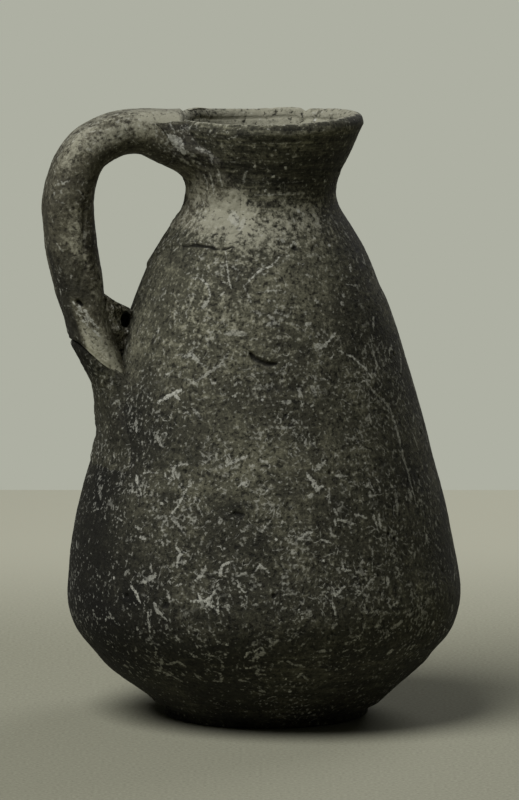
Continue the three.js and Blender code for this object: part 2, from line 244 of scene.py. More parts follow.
def firedEarthenware(name, look):
    # coarse clay fired in the open: matt, mottled, with pale root marks and a pale bloom; the mesh's layers add
    # painted light and painted shade, and pits and pores get painted shade
    material = bpy.data.materials.new(name)
    tree = emptyTree(material)
    place = addNode(tree, "TexCoord").outputs["Object"]
    painted = {layer: addNode(tree, "Attribute", {"attribute_name": layer}).outputs["Fac"]
               for layer in ("hollowShade", "bloomAndLight", "wipe", "rootTone", "rootMark", "shade", "growth")}
    level = addNode(tree, "Mapping", inputs={"Vector": place, "Scale": (0.1, 0.1, 1)})
    patches, clusters, mottle, grit, wipes, rootTones, crumbs, fine = [
        addNode(tree, "TexNoise", inputs={"Vector": at, "Scale": perMetre(look[size]), "Detail": detail,
                                          "Roughness": rough})
        for size, detail, rough, at in (
            ("patchSize", 4, 0.6, place), ("clusterSize", 2, 0.6, place), ("mottleSize", 3, 0.6, place),
            ("gritSize", 2, 0.7, place), ("wipeSpacing", 3, 0.7, level), ("rootToneSize", 2, 0.6, place),
            ("crumbSize", 1, 0.5, place), ("fineSize", 2, 0.6, place))]

    def stirred(base, *grains):
        # base with noises worked in: each is (noise, share), counted from the noise's middle of 0.5
        for noise, share in grains:
            fromMiddle = addNode(tree, "Math", {"operation": "ADD"}, [noise, -0.5])
            base = addNode(tree, "Math", multiplyAdd, [fromMiddle, share, base])
        return base

    tone = stirred(0.5, (patches, look["patchShare"]), (mottle, look["mottleShare"]), (grit, look["gritShare"]))
    wiping = addNode(tree, "Math", multiply, [stirred(0.0, (wipes, 1.0)), painted["wipe"]])
    tone = addNode(tree, "Math", multiplyAdd, [wiping, look["wipeShare"], tone])
    colour = addNode(tree, "ValToRGB", inputs=[tone])
    stops = colour.color_ramp.elements
    stops[0].position, stops[0].color = 0.16, linear(look["darkTone"])
    stops[1].position, stops[1].color = 0.92, linear(look["paleTone"])
    middle = stops.new(0.5)
    middle.color = linear(look["middleTone"])

    # the pale bloom, and painted light that the meshes paint in the same layer
    bloomAndLightEdge = stirred(painted["bloomAndLight"], (mottle, look["bloomMottle"]), (grit, look["bloomGrit"]))
    bloomAndLight = addNode(tree, "MapRange", smoothly, [bloomAndLightEdge, 0.15, 0.95, 0.0, look["bloomShare"]])
    colour = addNode(tree, "Mix", inColour, {0: bloomAndLight, 6: colour, 7: linear(look["bloomAndLightTone"])})
    # the colour times the shade layer: painted shade below 1, painted light above 1, and some dark blotches of the
    # pot's own
    shade = addNode(tree, "CombineColor", inputs=[painted["shade"]] * 3)
    colour = addNode(tree, "Mix", colourTimes, {0: 1.0, 6: colour, 7: shade})

    # marks of the roots that grew over the buried jug: 0.4 to 1.2 mm wide and broken by the grit
    rootEdge = stirred(painted["rootMark"], (grit, 1.7), (mottle, 0.8))
    drawn = addNode(tree, "MapRange", smoothly, [rootEdge, -0.26, 0.3])
    drawn = addNode(tree, "Math", multiply, [drawn, painted["rootTone"]])
    crumbly = addNode(tree, "MapRange", smoothly, [grit, 0.3, 0.62, 0.45, 1.1])
    drawn = addNode(tree, "Math", multiply, [drawn, crumbly])

    # finer ones: thin crooked lines where a smooth noise crosses its middle, cut short by a second noise
    bend = addNode(tree, "TexNoise", inputs={"Vector": place, "Scale": perMetre(look["bendSize"]), "Detail": 2})
    bent = addNode(tree, "VectorMath", multiplyAdd, [bend.outputs["Color"], [look["bendReach"]] * 3, place])
    wild = 0.0
    for spacing, halfWidth, shift, share in look["fineRoots"]:
        at = addNode(tree, "Mapping", inputs={"Vector": bent, "Location": shift})
        field, pieces = [
            addNode(tree, "TexNoise", inputs={"Vector": at, "Scale": perMetre(size), "Detail": detail})
            for size, detail in ((spacing, 0.5), (spacing * 0.55, 1.0))]
        fromMiddle = addNode(tree, "Math", {"operation": "ABSOLUTE"}, [stirred(0.0, (field, 1.0))])
        edges = halfWidth / spacing * 0.46, halfWidth / spacing * 0.1
        line = addNode(tree, "MapRange", smoothly, [fromMiddle, *edges])
        grown = addNode(tree, "Math", multiplyAdd, [painted["growth"], 0.12, pieces])
        shown = addNode(tree, "MapRange", smoothly, [stirred(grown, (clusters, 0.6)), 0.64, 0.76])
        line = addNode(tree, "Math", multiply, [line, shown])
        wild = addNode(tree, "Math", multiplyAdd, [line, share, wild])
    wildTone = addNode(tree, "MapRange", smoothly, [rootTones, 0.38, 0.66, 0.1, 0.75])
    grown = addNode(tree, "Math", multiplyAdd, [painted["growth"], 0.7, 0.3])
    wildTone = addNode(tree, "Math", multiply, [wildTone, grown])
    wild = addNode(tree, "Math", multiply, [wild, wildTone])
    roots = addNode(tree, "Math", {"operation": "MAXIMUM"}, [drawn, wild])

    # pale crumbs of lime, and open pores darkened as painted shade, drawn 0.5 to 1 mm across so that they show
    grown = addNode(tree, "Math", multiplyAdd, [painted["growth"], 0.04, crumbs])
    lime = stirred(grown, (clusters, 0.35))
    lime = addNode(tree, "MapRange", smoothly, [lime, 0.65, 0.76, 0.0, look["crumbShare"]])
    pores = stirred(crumbs, (mottle, 0.5))
    pores = addNode(tree, "MapRange", smoothly, [pores, 0.35, 0.28, 0.0, look["poreShare"]])
    cells = addNode(tree, "TexVoronoi", inputs={"Vector": place, "Scale": perMetre(look["speckSpacing"])})
    specks = [cells.outputs["Distance"], 0.14, 0.07, 0.0, look["speckShare"]]
    specks = addNode(tree, "MapRange", smoothly, specks)
    chosen = addNode(tree, "MapRange", smoothly, [cells.outputs["Color"], 0.8, 0.82])
    specks = addNode(tree, "Math", multiply, [specks, chosen])
    # painted shade in the hollows that the meshes mark
    pits = addNode(tree, "MapRange", smoothly, [painted["hollowShade"], 0.1, 0.8, 0.0, 0.9])
    for share, over in ((roots, "rootTone"), (lime, "rootTone"), (pores, "hollowShadeTone"), (specks, "speckTone"),
                        (pits, "hollowShadeTone")):
        colour = addNode(tree, "Mix", inColour, {0: share, 6: colour, 7: linear(look[over])})

    # grain of the surface, from 0.3 to 2 mm
    height = 0.0
    for part, share in ((grit, 0.8), (mottle, 0.8), (fine, 0.35), (roots, 0.25), (pores, -0.5)):
        height = addNode(tree, "Math", multiplyAdd, [part, share, height])
    bump = {"Strength": look["bumpStrength"], "Distance": look["bumpHeight"], "Height": height}
    bump = addNode(tree, "Bump", inputs=bump)
    matt = look["roughness"]
    roughness = addNode(tree, "MapRange", smoothly, [tone, 0.2, 0.8, matt - 0.06, matt + 0.05])
    shader = addNode(tree, "BsdfPrincipled", inputs={
        "Base Color": colour, "Roughness": roughness, "Normal": bump, "IOR": 1.5,
        "Specular IOR Level": look["gloss"]})
    addNode(tree, "OutputMaterial", inputs={"Surface": shader})
    return material


# Fired earthenware wiped smooth with a wet hand: matt, dark from smoke, mottled at 1 to 3 mm,
# with faint level wiping lines, drawn 2 mm apart so that they show. Sizes are in mm.
wipedWare = {
    "darkTone": "#26251c",
    "middleTone": "#49483b",
    "paleTone": "#86846f",
    "rootTone": "#bfbfb4",
    "speckTone": "#d6d6cd",
    "bloomAndLightTone": "#a8a693",
    "hollowShadeTone": "#12110b",
    "patchSize": 26,
    "patchShare": 1.0,
    "clusterSize": 17,
    "mottleSize": 3.0,
    "mottleShare": 0.6,
    "gritSize": 1.15,
    "gritShare": 0.72,
    "wipeSpacing": 2.0,
    "wipeShare": 1.6,
    "crumbSize": 1.5,
    "fineSize": 0.45,
    "bendSize": 1.6,
    "bendReach": 0.002,  # metres
    "rootToneSize": 7,
    "fineRoots": [  # spacing, half width, shift of the pattern in metres, share
        (7.5, 0.4, (0, 0, 0), 1.0), (4.2, 0.34, (0.3, 0.1, 0.2), 0.8)],
    "bloomShare": 0.85,
    "bloomMottle": 1.9,
    "bloomGrit": 1.3,
    "crumbShare": 0.38,
    "poreShare": 0.65,
    "speckSpacing": 6.5,
    "speckShare": 0.65,
    "bumpStrength": 0.55,
    "bumpHeight": 0.0006,  # metres
    "roughness": 0.88,
    "gloss": 0.3,
}
# The same clay under a thin pale lime bloom: lighter, softer in contrast, chalky, a little warmer.
bloomedWare = dict(wipedWare, darkTone="#35322a", middleTone="#5c594a", paleTone="#95927e", bloomMottle=1.4,
                   bloomGrit=1.1, poreShare=0.45)
# Coarse clay pushed into place and left rough: crumbly, with grit that catches the light. Its tones are lighter than
# the wall's as painted light, for the lump lies in the handle's shadow.
roughWarePaintedLight = dict(wipedWare, darkTone="#37342b", middleTone="#706d5f", paleTone="#bbb8aa", rootTone="#e4e4da",
                 gritShare=2.0, crumbShare=0.9, bumpStrength=1.0, roughness=0.95, gloss=0.2)

wipedEarthenware = firedEarthenware("wiped earthenware", wipedWare)
bloomedEarthenware = firedEarthenware("bloomed earthenware", bloomedWare)
roughEarthenwarePaintedLight = firedEarthenware("rough earthenware with painted light", roughWarePaintedLight)
print("materials made")


# The pot's skin: one grid over the outside, the lip and the inside, cut into the rings it was built from

pot = {
    "outline": [[41, 0], [52.5, 11.5], [65.2, 24], [74.2, 36], [77.9, 48.5], [75.7, 66], [70.8, 90],
                [64.2, 114], [57.6, 138], [50.5, 161], [44, 177], [36.4, 191], [30.6, 201], [29.4, 207], [30.5, 214],
                [33.7, 222], [37.7, 232]],  # radius, height
    "wallThickness": [[9, 0], [8, 40], [7, 110], [6.4, 180], [5.8, 207], [5.4, 232]],
    "lean": [[0, 0], [-0.8, 45], [-1.6, 110], [-2.4, 180], [-1.6, 205], [0.6, 236]],
    "joints": [5, 46, 112, 177, 202, 228.5],
    "jointBevel": 5,
    "lipBevel": 2.5,
    "footRadius": 41,
    "footEdge": 2.5,
    "floorHeight": 8.5,
    "lipWidest": 232,
    "lipWidth": 5.8,
    "lipRise": 4,
    "lipMeanHalf": 3.3,
    "rowStep": 0.6,  # finest mesh, on the front
    "columnStep": 0.38,  # degrees
    "backStep": 0.8,
    "mouthSteps": [0.7, 0.8],  # inside the lip and under it
    "innerStep": 4.5,
    "underRows": 25,  # rows under the foot, round its edge, over the lip and on the floor inside
    "edgeRows": 6,
    "lipRows": 24,
    "floorRows": 14,
}


def outerRadius(z):
    return alongHeight(pot["outline"], z)


def outerSlope(z):
    return outerRadius(z + 0.5) - outerRadius(z - 0.5)


def innerRadius(z):
    return outerRadius(z) - alongHeight(pot["wallThickness"], z) * np.hypot(1, outerSlope(z))


def leanAt(z):
    return alongHeight(pot["lean"], z)


def skinRows(radiusAt, low, high, step):
    # [radius, height] rows from low up to, but not including, high, evenly spaced along the skin
    z = np.linspace(low, high, 400)
    r = radiusAt(z)
    length = np.concatenate([[0], np.cumsum(np.hypot(np.diff(r), np.diff(z)))])
    count = max(int(round(length[-1] / step)), 1)
    heights = np.interp(np.arange(count) / count * length[-1], length, z)
    return np.column_stack([radiusAt(heights), heights])


def ellipseRows(centre, across, up, fromDegrees, toDegrees, count):
    angle = np.radians(np.linspace(fromDegrees, toDegrees, count, endpoint=False))
    return np.column_stack([centre[0] + across * np.cos(angle), centre[1] + up * np.sin(angle)])


def potSection():
    # the rows of the whole section from under the foot, up the outside, over the lip and down the inside
    joints, edge = pot["joints"], pot["footEdge"]
    lipMiddle = outerRadius(pot["lipWidest"]) - pot["lipWidth"] / 2
    under = np.linspace(2, pot["footRadius"] - edge, pot["underRows"], endpoint=False)
    rows = [np.column_stack([under, np.zeros(len(under))])]
    rows.append(ellipseRows((pot["footRadius"] - edge, edge), edge, edge, -90, 0, pot["edgeRows"]))
    start = np.array([pot["footRadius"], edge])
    end = np.array([outerRadius(joints[0]), joints[0]])
    rows.append(start + (end - start) * np.linspace(0, 1, 6)[:-1, None])
    marks = {}
    heights = joints + [pot["lipWidest"]]
    for low, high in zip(heights, heights[1:]):
        marks[("outside", low)] = sum(map(len, rows))
        rows.append(skinRows(outerRadius, low, high, pot["rowStep"]))
    rows.append(ellipseRows((lipMiddle, pot["lipWidest"]), pot["lipWidth"] / 2, pot["lipRise"], 0, 180,
                            pot["lipRows"]))
    heights = [pot["lipWidest"], joints[-1] + pot["lipBevel"]] + [j + pot["jointBevel"] for j in joints[-2::-1]]
    steps = pot["mouthSteps"] + [pot["innerStep"]] * len(joints)
    for high, low, step in zip(heights, heights[1:], steps):
        marks[("inside", high)] = sum(map(len, rows))
        falling = skinRows(lambda z: innerRadius(high + low - z), low, high, step)
        rows.append(np.column_stack([falling[:, 0], high + low - falling[:, 1]]))
    marks[("inside", heights[-1])] = sum(map(len, rows))
    corner = innerRadius(heights[-1])
    rows.append([[corner, heights[-1]], [corner - 1.5, heights[-1] - 0.9]])
    floor = np.linspace(corner - 4, 3, pot["floorRows"])
    rows.append(np.column_stack([floor, np.full(len(floor), pot["floorHeight"])]))
    return np.concatenate(rows), marks


section, marks = potSection()
sectionRise = np.gradient(section, axis=0)
sectionLength = np.concatenate([[0], np.cumsum(np.hypot(*np.diff(section, axis=0).T))])
outerRows = marks[("inside", pot["lipWidest"])]  # rows up to the inner edge of the lip
lipRow = outerRows - pot["lipRows"]
frontEdge = 112
columnAngle = np.radians(np.concatenate([
    np.arange(-180, -frontEdge, pot["backStep"]), np.arange(-frontEdge, frontEdge, pot["columnStep"]),
    np.arange(frontEdge, 180, pot["backStep"])]))  # from the front, towards +X
columns = len(columnAngle)
print("pot grid", len(section), "rows", columns, "columns")

radiusGrid, heightGrid = [np.repeat(section[:, i:i + 1], columns, axis=1) for i in (0, 1)]
angleGrid = np.repeat(columnAngle[None, :], len(section), axis=0)
degreeGrid = np.degrees(angleGrid)
normalLength = np.maximum(np.hypot(*sectionRise.T), 1e-9)[:, None]
normalOut = (sectionRise[:, 1:2] / normalLength) * np.ones_like(angleGrid)
normalUp = (-sectionRise[:, 0:1] / normalLength) * np.ones_like(angleGrid)


def around(radius, height, angle):
    # a point at that angle from the front round the leaning axis
    return np.stack([leanAt(height) + radius * np.sin(angle), -radius * np.cos(angle), height], -1)


basePoints = around(radiusGrid, heightGrid, angleGrid)
onOutside = np.arange(len(section))[:, None] < outerRows
potSkin = {"place": sectionLength[:outerRows], "angle": columnAngle, "radius": section[:outerRows, 0]}


def placeAt(height):
    # distance along the outside of the section up to that height
    start = marks[("outside", pot["joints"][0])]
    return np.interp(height, section[start:lipRow, 1], sectionLength[start:lipRow])


# Marks drawn on a skin: lines and spots with their distance in mm, so that their edges stay crisp

def nearLine(skin, points, within):
    # rows and columns of the vertices near a line of (angle, place) points, their distance to it in mm
    # and how far along it they are, from 0 to 1
    angle, place = np.array(points, float).T
    radius = np.interp(place.mean(), skin["place"], skin["radius"])
    rows = slice(*np.searchsorted(skin["place"], [place.min() - within, place.max() + within]))
    cut = np.searchsorted(skin["angle"], [angle.min() - within / radius, angle.max() + within / radius])
    across = skin["angle"][cut[0]:cut[1]][None, :] * radius
    along = skin["place"][rows][:, None]
    nearest = np.full(np.broadcast_shapes(across.shape, along.shape), 1e3)
    share = np.zeros_like(nearest)
    count = len(angle) - 1
    for i in range(count):
        startX, startY = angle[i] * radius, place[i]
        stepX, stepY = angle[i + 1] * radius - startX, place[i + 1] - startY
        t = ((across - startX) * stepX + (along - startY) * stepY) / max(stepX ** 2 + stepY ** 2, 1e-9)
        t = np.clip(t, 0, 1)
        distance = np.hypot(across - startX - t * stepX, along - startY - t * stepY)
        closer = distance < nearest
        nearest = np.where(closer, distance, nearest)
        share = np.where(closer, (i + t) / count, share)
    return rows, slice(*cut), nearest, share


def drawRoots(skin, layers, lines):
    # each line is (points, half width in mm, tone): its ends taper
    for points, halfWidth, tone in lines:
        rows, cut, distance, share = nearLine(skin, points, halfWidth + 1.6)
        edge = halfWidth * (0.55 + 0.45 * np.sin(math.pi * share)) - distance
        old = layers["rootMark"][rows, cut]
        layers["rootTone"][rows, cut] = np.where(edge > old, tone, layers["rootTone"][rows, cut])
        layers["rootMark"][rows, cut] = np.maximum(old, edge)


def pressLine(skin, layers, points, halfWidth, depth, dark=0.0):
    # a groove along a line, with painted shade in it
    rows, cut, distance, share = nearLine(skin, points, halfWidth * 2.6)
    taper = np.clip(np.minimum(share, 1 - share) * 6 + 0.35, 0, 1)
    fall = np.exp(-(distance / (halfWidth * taper)) ** 2 * 1.2)
    layers["rise"][rows, cut] -= depth * fall
    layers["hollowShade"][rows, cut] = np.maximum(layers["hollowShade"][rows, cut], dark * fall)


def pressPits(skin, layers, pits):
    # each pit is (angle, place, radius, depth, darkness); the darkness is painted shade in the pit
    for angle, place, radius, depth, dark in pits:
        rows, cut, distance, _ = nearLine(skin, [(angle, place), (angle + 1e-4, place)], radius * 2.2)
        fall = np.exp(-(distance / radius) ** 4)
        layers["rise"][rows, cut] -= depth * fall
        layers["hollowShade"][rows, cut] = np.maximum(layers["hollowShade"][rows, cut], dark * fall)


def newLayers(shape):
    layers = {name: np.zeros(shape) for name in ("rise", "hollowShade", "bloomAndLight", "wipe", "rootTone")}
    layers["rootMark"] = np.full(shape, -1.5)
    layers["shade"] = np.ones(shape)
    layers["growth"] = np.full(shape, 0.3)
    return layers


def wanderingRoot(random, angle, place, radius, length, turn):
    # a short crooked line that starts there, as a list of (angle, place)
    steps = max(int(length / 0.9), 2)
    heading = random.uniform(0, 2 * math.pi)
    points = [(angle, place)]
    for _ in range(steps):
        heading += random.normal(0, turn)
        step = length / steps
        angle += step * math.cos(heading) / radius
        place += step * math.sin(heading)
        points.append((angle, place))
    return points


# What is seen on this pot, at degrees from the front and heights in mm
potMarks = {
    "strokes": [  # half width in mm, tone, then degrees and height of each place in turn
        # shoulder and upper body
        (0.45, 0.8, 11, 185, 6, 181.6, 0, 180.2, -4, 177.4, -7, 175), (0.4, 0.6, -8, 174.6, -4, 168.4),
        (0.4, 0.6, 0, 180, 3, 178), (0.3, 0.6, -20, 187, -18, 182, -16, 177, -14, 173),
        (0.3, 0.5, -21, 176, -16, 175), (0.45, 0.65, -37, 176.5, -31, 176.6, -26, 174, -24, 170, -26, 167),
        (1.4, 0.5, -27, 166, -25, 168), (2.4, 0.45, -22, 201, -17, 197), (1.6, 0.4, -12, 199, -14, 195),
        (0.4, 0.6, -1, 172, 5, 172.6, 11, 172.8), (0.4, 0.5, -20, 170, -17, 172),
        (0.9, 0.7, 56, 180.4, 54, 178), (0.4, 0.55, 47, 173.3, 51, 172.8, 56, 172.4, 55, 171),
        (1.1, 0.55, 43, 170, 43.6, 169), (0.9, 0.5, 41, 167, 42, 166), (1.0, 0.6, 20, 159.5, 23, 160),
        (1.0, 0.5, 3, 160, 6, 160.5), (0.9, 0.45, -3, 165, 0, 164.4), (1.0, 0.6, 27, 168.5, 28.5, 167.5),
        (0.9, 0.6, 60, 160, 57, 156), (0.6, 0.6, 53, 152, 53, 147),
        (0.5, 0.6, 53, 147, 53, 142, 50, 139, 53, 135), (0.5, 0.5, 77, 149, 76, 144, 72, 139, 68, 136),
        (1.2, 0.6, 24, 151.7, 28, 151), (0.6, 0.85, 25, 150, 30, 153, 34, 156),
        (0.5, 0.8, 33, 149.6, 40, 146.4, 46, 141.4, 48, 138), (1.4, 0.4, -15, 156.4, -11, 156.8, -6, 156.4),
        (0.7, 0.45, -13, 150, -16, 145, -21, 141.5, -28, 137),
        # upper middle, with the long trail on the right
        (1.0, 0.95, -42, 129, -37, 131.8, -32, 134.5), (0.8, 0.8, -35, 132.6, -32, 131),
        (0.35, 0.6, 5, 140.8, 12, 146), (1.0, 0.5, 20, 136.6, 21, 133), (1.0, 0.5, 8, 131, 11, 131),
        (0.75, 0.55, 45, 136, 48, 132, 52, 129, 55, 125, 56, 116, 56, 106, 57, 99, 57, 92, 58, 87),
        (0.5, 0.4, 45, 131, 43, 126.6, 43, 120.5), (0.5, 0.45, 66, 115, 68, 108),
        (0.6, 0.5, 3, 121.5, 8, 121.3, 12, 121.6), (0.8, 0.35, -26, 128, -22, 124),
        (0.7, 0.5, -52, 122, -50, 117), (0.8, 0.5, -40, 117, -37, 113), (0.7, 0.4, -60, 112, -58, 107),
        # belly, left
        (0.5, 0.6, -30, 101, -31, 103.6, -30, 106.4, -24, 107.3), (0.6, 0.5, -32, 106, -28, 101),
        (0.5, 0.75, -24, 100, -26, 95, -28, 90, -30, 87), (0.45, 0.5, -43, 102, -40, 103, -36, 102.6),
        (1.2, 0.75, -46, 100.7, -45, 98), (0.5, 0.6, -45, 98, -43, 95.6, -42, 93),
        (0.5, 0.6, -49, 95, -46, 94.6, -43, 95), (1.0, 0.35, -66, 94.5, -63, 89.6),
        (0.8, 0.6, -28, 98, -27, 99.5), (0.7, 0.55, -24, 101.5, -24, 99), (0.9, 0.6, -34, 92, -33, 91.4),
        (0.8, 0.55, -29, 86, -26, 83.5, -24, 80.4), (0.5, 0.6, -52, 84.2, -49, 83.3),
        (0.6, 0.65, -43, 81.7, -40, 81), (1.0, 0.7, -40, 78.2, -38, 77.8),
        (0.5, 0.55, -34, 77.4, -32, 77.7, -31, 75.7), (0.75, 0.75, -27, 76, -25, 73, -26, 71, -26, 68),
        (0.4, 0.6, -35, 69, -35, 66), (1.3, 0.6, -38, 61, -35, 63, -33, 64),
        (0.7, 0.85, -42, 59.3, -40, 57.5, -38, 53.4), (0.9, 0.6, -33, 54, -32, 51, -30, 49),
        (0.5, 0.65, -35, 51, -35, 46, -35, 42), (0.6, 0.55, -29, 59, -28, 57, -28, 55),
        (0.5, 0.6, -26, 61, -24, 62), (0.9, 0.75, -20, 63.7, -18, 66, -17, 69),
        (0.6, 0.9, -21, 55.6, -18, 56, -19, 58.7),
        (0.65, 0.9, -14, 60, -15, 57.5, -17, 56, -14, 53.5, -13, 51.7, -13, 56), (0.8, 0.6, -10, 55, -10, 53),
        (0.6, 0.8, -13, 66, -12, 69.5, -9, 71.5), (0.6, 0.6, -8, 65.6, -5, 67),
        (0.6, 0.75, -3, 67, -1, 70, 2, 67), (0.9, 0.65, -12, 107.3, -9, 109, -5, 110.8),
        (0.5, 0.6, -15, 57, -13, 62.6),
        # belly, right
        (1.2, 0.85, 15, 104, 17, 101, 18, 98, 20, 99), (1.0, 0.7, 15, 95.4, 16.6, 96),
        (0.9, 0.65, 18, 105, 22, 108.4), (0.9, 0.7, 25, 102.5, 29, 102.4), (0.6, 0.5, 22, 98, 22, 93),
        (0.7, 0.6, 23, 91, 24, 88), (0.5, 0.7, 23, 87, 23, 84), (0.6, 0.75, 24, 86.3, 26, 85.5, 30, 84),
        (0.5, 0.6, 28, 83.7, 28, 81), (0.6, 0.8, 30, 87.6, 32, 87.3, 34, 86), (0.5, 0.75, 37, 87, 38, 80),
        (0.6, 0.75, 39, 87, 39, 81.5), (0.4, 0.6, 37, 101, 39, 94), (1.1, 0.4, 48, 95, 47, 86),
        (0.9, 1.0, 68, 80, 67.4, 78.4), (0.9, 0.8, 11, 79.7, 13, 81.5, 15, 82), (0.5, 0.85, 18, 79, 21, 77.7),
        (0.6, 0.95, 17, 71.5, 19, 71), (0.7, 0.85, 24, 70.6, 24, 67.2, 26.5, 66.8),
        (0.5, 0.5, 30, 73.4, 31, 70, 29, 68), (0.35, 0.55, 35, 75.7, 34, 66), (0.9, 0.65, 39, 63.3, 39, 60),
        (0.9, 0.55, 37, 58, 36, 55), (0.6, 0.75, 38, 53.2, 39, 51.4, 42, 53.2),
        (0.8, 0.85, 20, 61.7, 21, 58, 22, 58.7, 24, 61.4), (0.6, 0.8, 18, 58, 20, 54.6, 21, 49.6),
        (0.4, 0.6, 18, 56, 17, 53), (0.35, 0.7, 27, 56, 30, 59, 33, 62.5, 35, 63.7),
        (0.6, 0.8, 30, 51, 31, 50), (0.8, 0.5, 52, 51, 52, 47.6), (0.6, 0.4, 48, 57.6, 48, 53),
        (0.9, 0.55, 40, 43, 42, 44, 44, 45.6), (0.5, 0.6, 3, 75.4, 6, 76),
        # under the belly
        (0.35, 0.6, 25, 39, 28, 40), (0.35, 0.5, 29, 41.3, 30, 45), (0.35, 0.6, 35, 37.4, 38, 39.5, 41, 41),
        (0.45, 0.8, -6, 33.4, -5, 35.7, -3, 36.3, -1, 38.3), (0.4, 0.8, -6, 28.9, -3, 29.7, -1, 28.4),
        (0.6, 0.6, 3, 40, 4.4, 41.5), (0.7, 0.4, 7, 32.3, 9, 30.6, 13, 29.4),
        (0.7, 0.5, 11, 24.6, 12, 26.2, 15, 23.3), (0.6, 0.45, -19, 34.8, -15, 34, -13, 31.5),
        (0.8, 0.45, -33, 28.6, -28, 30.4, -26, 28.4), (0.6, 0.4, -38, 25.4, -33, 23.3, -31, 21),
        (0.8, 0.4, -24, 25.4, -23, 23.3), (0.6, 0.5, -15, 26, -15, 22.7, -18, 22.6),
        (0.5, 0.45, -9, 23.6, -5, 22.6), (0.5, 0.4, -2, 21, -1, 18), (0.8, 0.5, 16, 36, 19, 36),
        # faint level lines on the flare and the lip
        (0.35, 0.6, -24, 230, -18, 231.3), (0.2, 0.35, -18, 229, 0, 228.6, 22, 228.8),
        (0.2, 0.25, -26, 220.6, 0, 221, 20, 220.6), (0.2, 0.25, -8, 212.7, 16, 212.5, 34, 213),
        (0.35, 0.4, -6, 207.8, 20, 208.2, 36, 208), (0.15, 0.3, -6, 225, 6, 215.6),
    ],
    "grains": [(-8, 84.7), (4, 79.5), (8, 81), (9, 72.6), (-49, 61), (-22, 43.2), (-11, 38.6), (7, 24),
               (3, 55.7), (5, 55.6), (10, 53), (11, 49.7), (72, 44), (6, 225.7), (-7, 219), (15, 218.7),
               (7, 215), (2, 209.5), (54, 212), (-72, 83)],
    "pits": [(3, 58.4, 1.0, 0.8), (-29, 53.5, 1.6, 0.9), (21, 188.3, 1.2, 0.8), (9, 126, 0.8, 0.6),
             (23, 104, 0.8, 0.6), (42, 79.3, 0.9, 0.7), (44, 77.2, 0.9, 0.7), (-43, 55.2, 1.0, 0.7),
             (-18, 139, 0.7, 0.5)],  # degrees, height, radius, depth
    # the grooves' darkness is painted shade in them
    "grooves": [  # places, half width, depth, darkness: burnt-out chaff, a dark slot, a scratch and a dent
        ([(-4.4, 149.6), (-2, 147.2), (2, 145.6), (6.4, 145.4)], 1.05, 1.6, 1.0),
        ([(-9, 89.6), (-5.5, 88.9)], 1.0, 0.8, 0.9),
        ([(45, 136), (48, 132), (52, 129), (55, 125), (56, 106), (57, 99), (58, 87)], 0.6, 0.25, 0.0),
        ([(3.5, 138), (11, 137), (17, 135.6)], 3.2, 0.5, 0.25)],
    "crack": [(-87, 179), (-74, 183.8), (-63, 186.6), (-54, 187.6), (-48, 187.9), (-43, 188.25), (-38, 188.1),
              (-33, 187.95), (-27, 187.4), (-23, 186.9), (-20, 187.25), (-16.5, 188.3)],
    "lapHeight": 0.75,  # the clay that stands proud over the crack, and the open gap under it, in mm
    "lapReach": 9,
    "gapHalfWidth": 0.36,
    "gapDepth": 0.6,
    "bloomAndLight": [  # degrees, height, half spans in degrees and mm, strength
        (-36, 200, 24, 9, 0.75), (-22, 205, 9, 6, 0.5), (-14, 197, 12, 9, 0.3), (28, 197, 30, 8, 0.45),
        (-2, 192, 22, 12, 0.3), (-18, 199, 12, 6, 0.35), (38, 203, 16, 5, 0.3),
        (-38, 203, 2.5, 8, 0.3), (-21, 204, 2.5, 8, 0.35), (-18, 193, 2, 4, 0.3), (-14, 200, 2, 7, 0.3),
        (-22, 168, 22, 14, 0.18), (-10, 150, 30, 16, 0.12), (10, 75, 30, 16, 0.1),
    ],
    # painted shade where the light falls off (the flare, the right side, the left of the belly), painted light where
    # the strength is negative, and small dark blotches of the pot's own
    "shade": [  # degrees, height, half spans, how much darker
        (35, 217, 62, 8, 0.56), (66, 135, 26, 60, 0.36), (30, 104, 9, 9, 0.1), (76, 66, 20, 30, 0.2),
        (-62, 114, 30, 26, 0.55), (-76, 64, 42, 42, 0.78), (-45, 34, 34, 18, 0.4), (-72, 38, 22, 12, 0.5),
        (-32, 110, 22, 24, 0.1),
        (52, 54, 20, 14, -0.5), (28, 62, 26, 18, -0.12), (-30, 165, 16, 14, -0.2), (44, 165, 16, 20, 0.12),
        (13, 233.5, 4, 3, 0.5), (-19, 232.5, 4, 1.6, 0.5),
        (-13, 232.3, 4, 2, 0.5), (-8, 90.5, 5, 4.5, 0.45), (0, 76, 6, 5, 0.35), (26, 93, 4, 4, 0.45),
        (-31, 94, 3.5, 3.5, 0.4), (-41, 55, 5, 4, 0.35), (-27, 153, 3, 3, 0.35), (18, 149, 4, 3, 0.35),
        (60, 157, 6, 8, 0.3), (58, 99, 5, 5, 0.3), (10, 137, 9, 3, 0.3), (30, 88, 4, 3, 0.3),
        (-32, 113, 6, 6, 0.2),
    ],
    # painted shade by height: darker towards the bottom, where the body faces down
    "lowShade": [(0, 0.36), (12, 0.34), (35, 0.43), (52, 0.6), (75, 0.75), (100, 0.9), (130, 0.97),
              (160, 1), (240, 1)],
    "lipWave": [(-180, 0.6), (-164, 0.5), (-150, 0.6), (-136, 1.1), (-128, 1.7), (-118, 1.7), (-100, 0.9),
                (-80, 0.3), (-60, 0.1), (-40, 0.1), (-20, -0.3), (0, -0.2), (20, -0.1), (40, 0.4), (60, 1.0),
                (80, 1.2), (120, 1.1), (140, 0.75), (151, 0.6), (154.5, -0.5), (158, 0.8), (164, 1.0),
                (180, 0.6)],
    "growth": [(0, 0.15), (30, 0.35), (45, 0.9), (100, 1.0), (140, 0.8), (180, 0.45), (205, 0.15), (228, 0.1)],
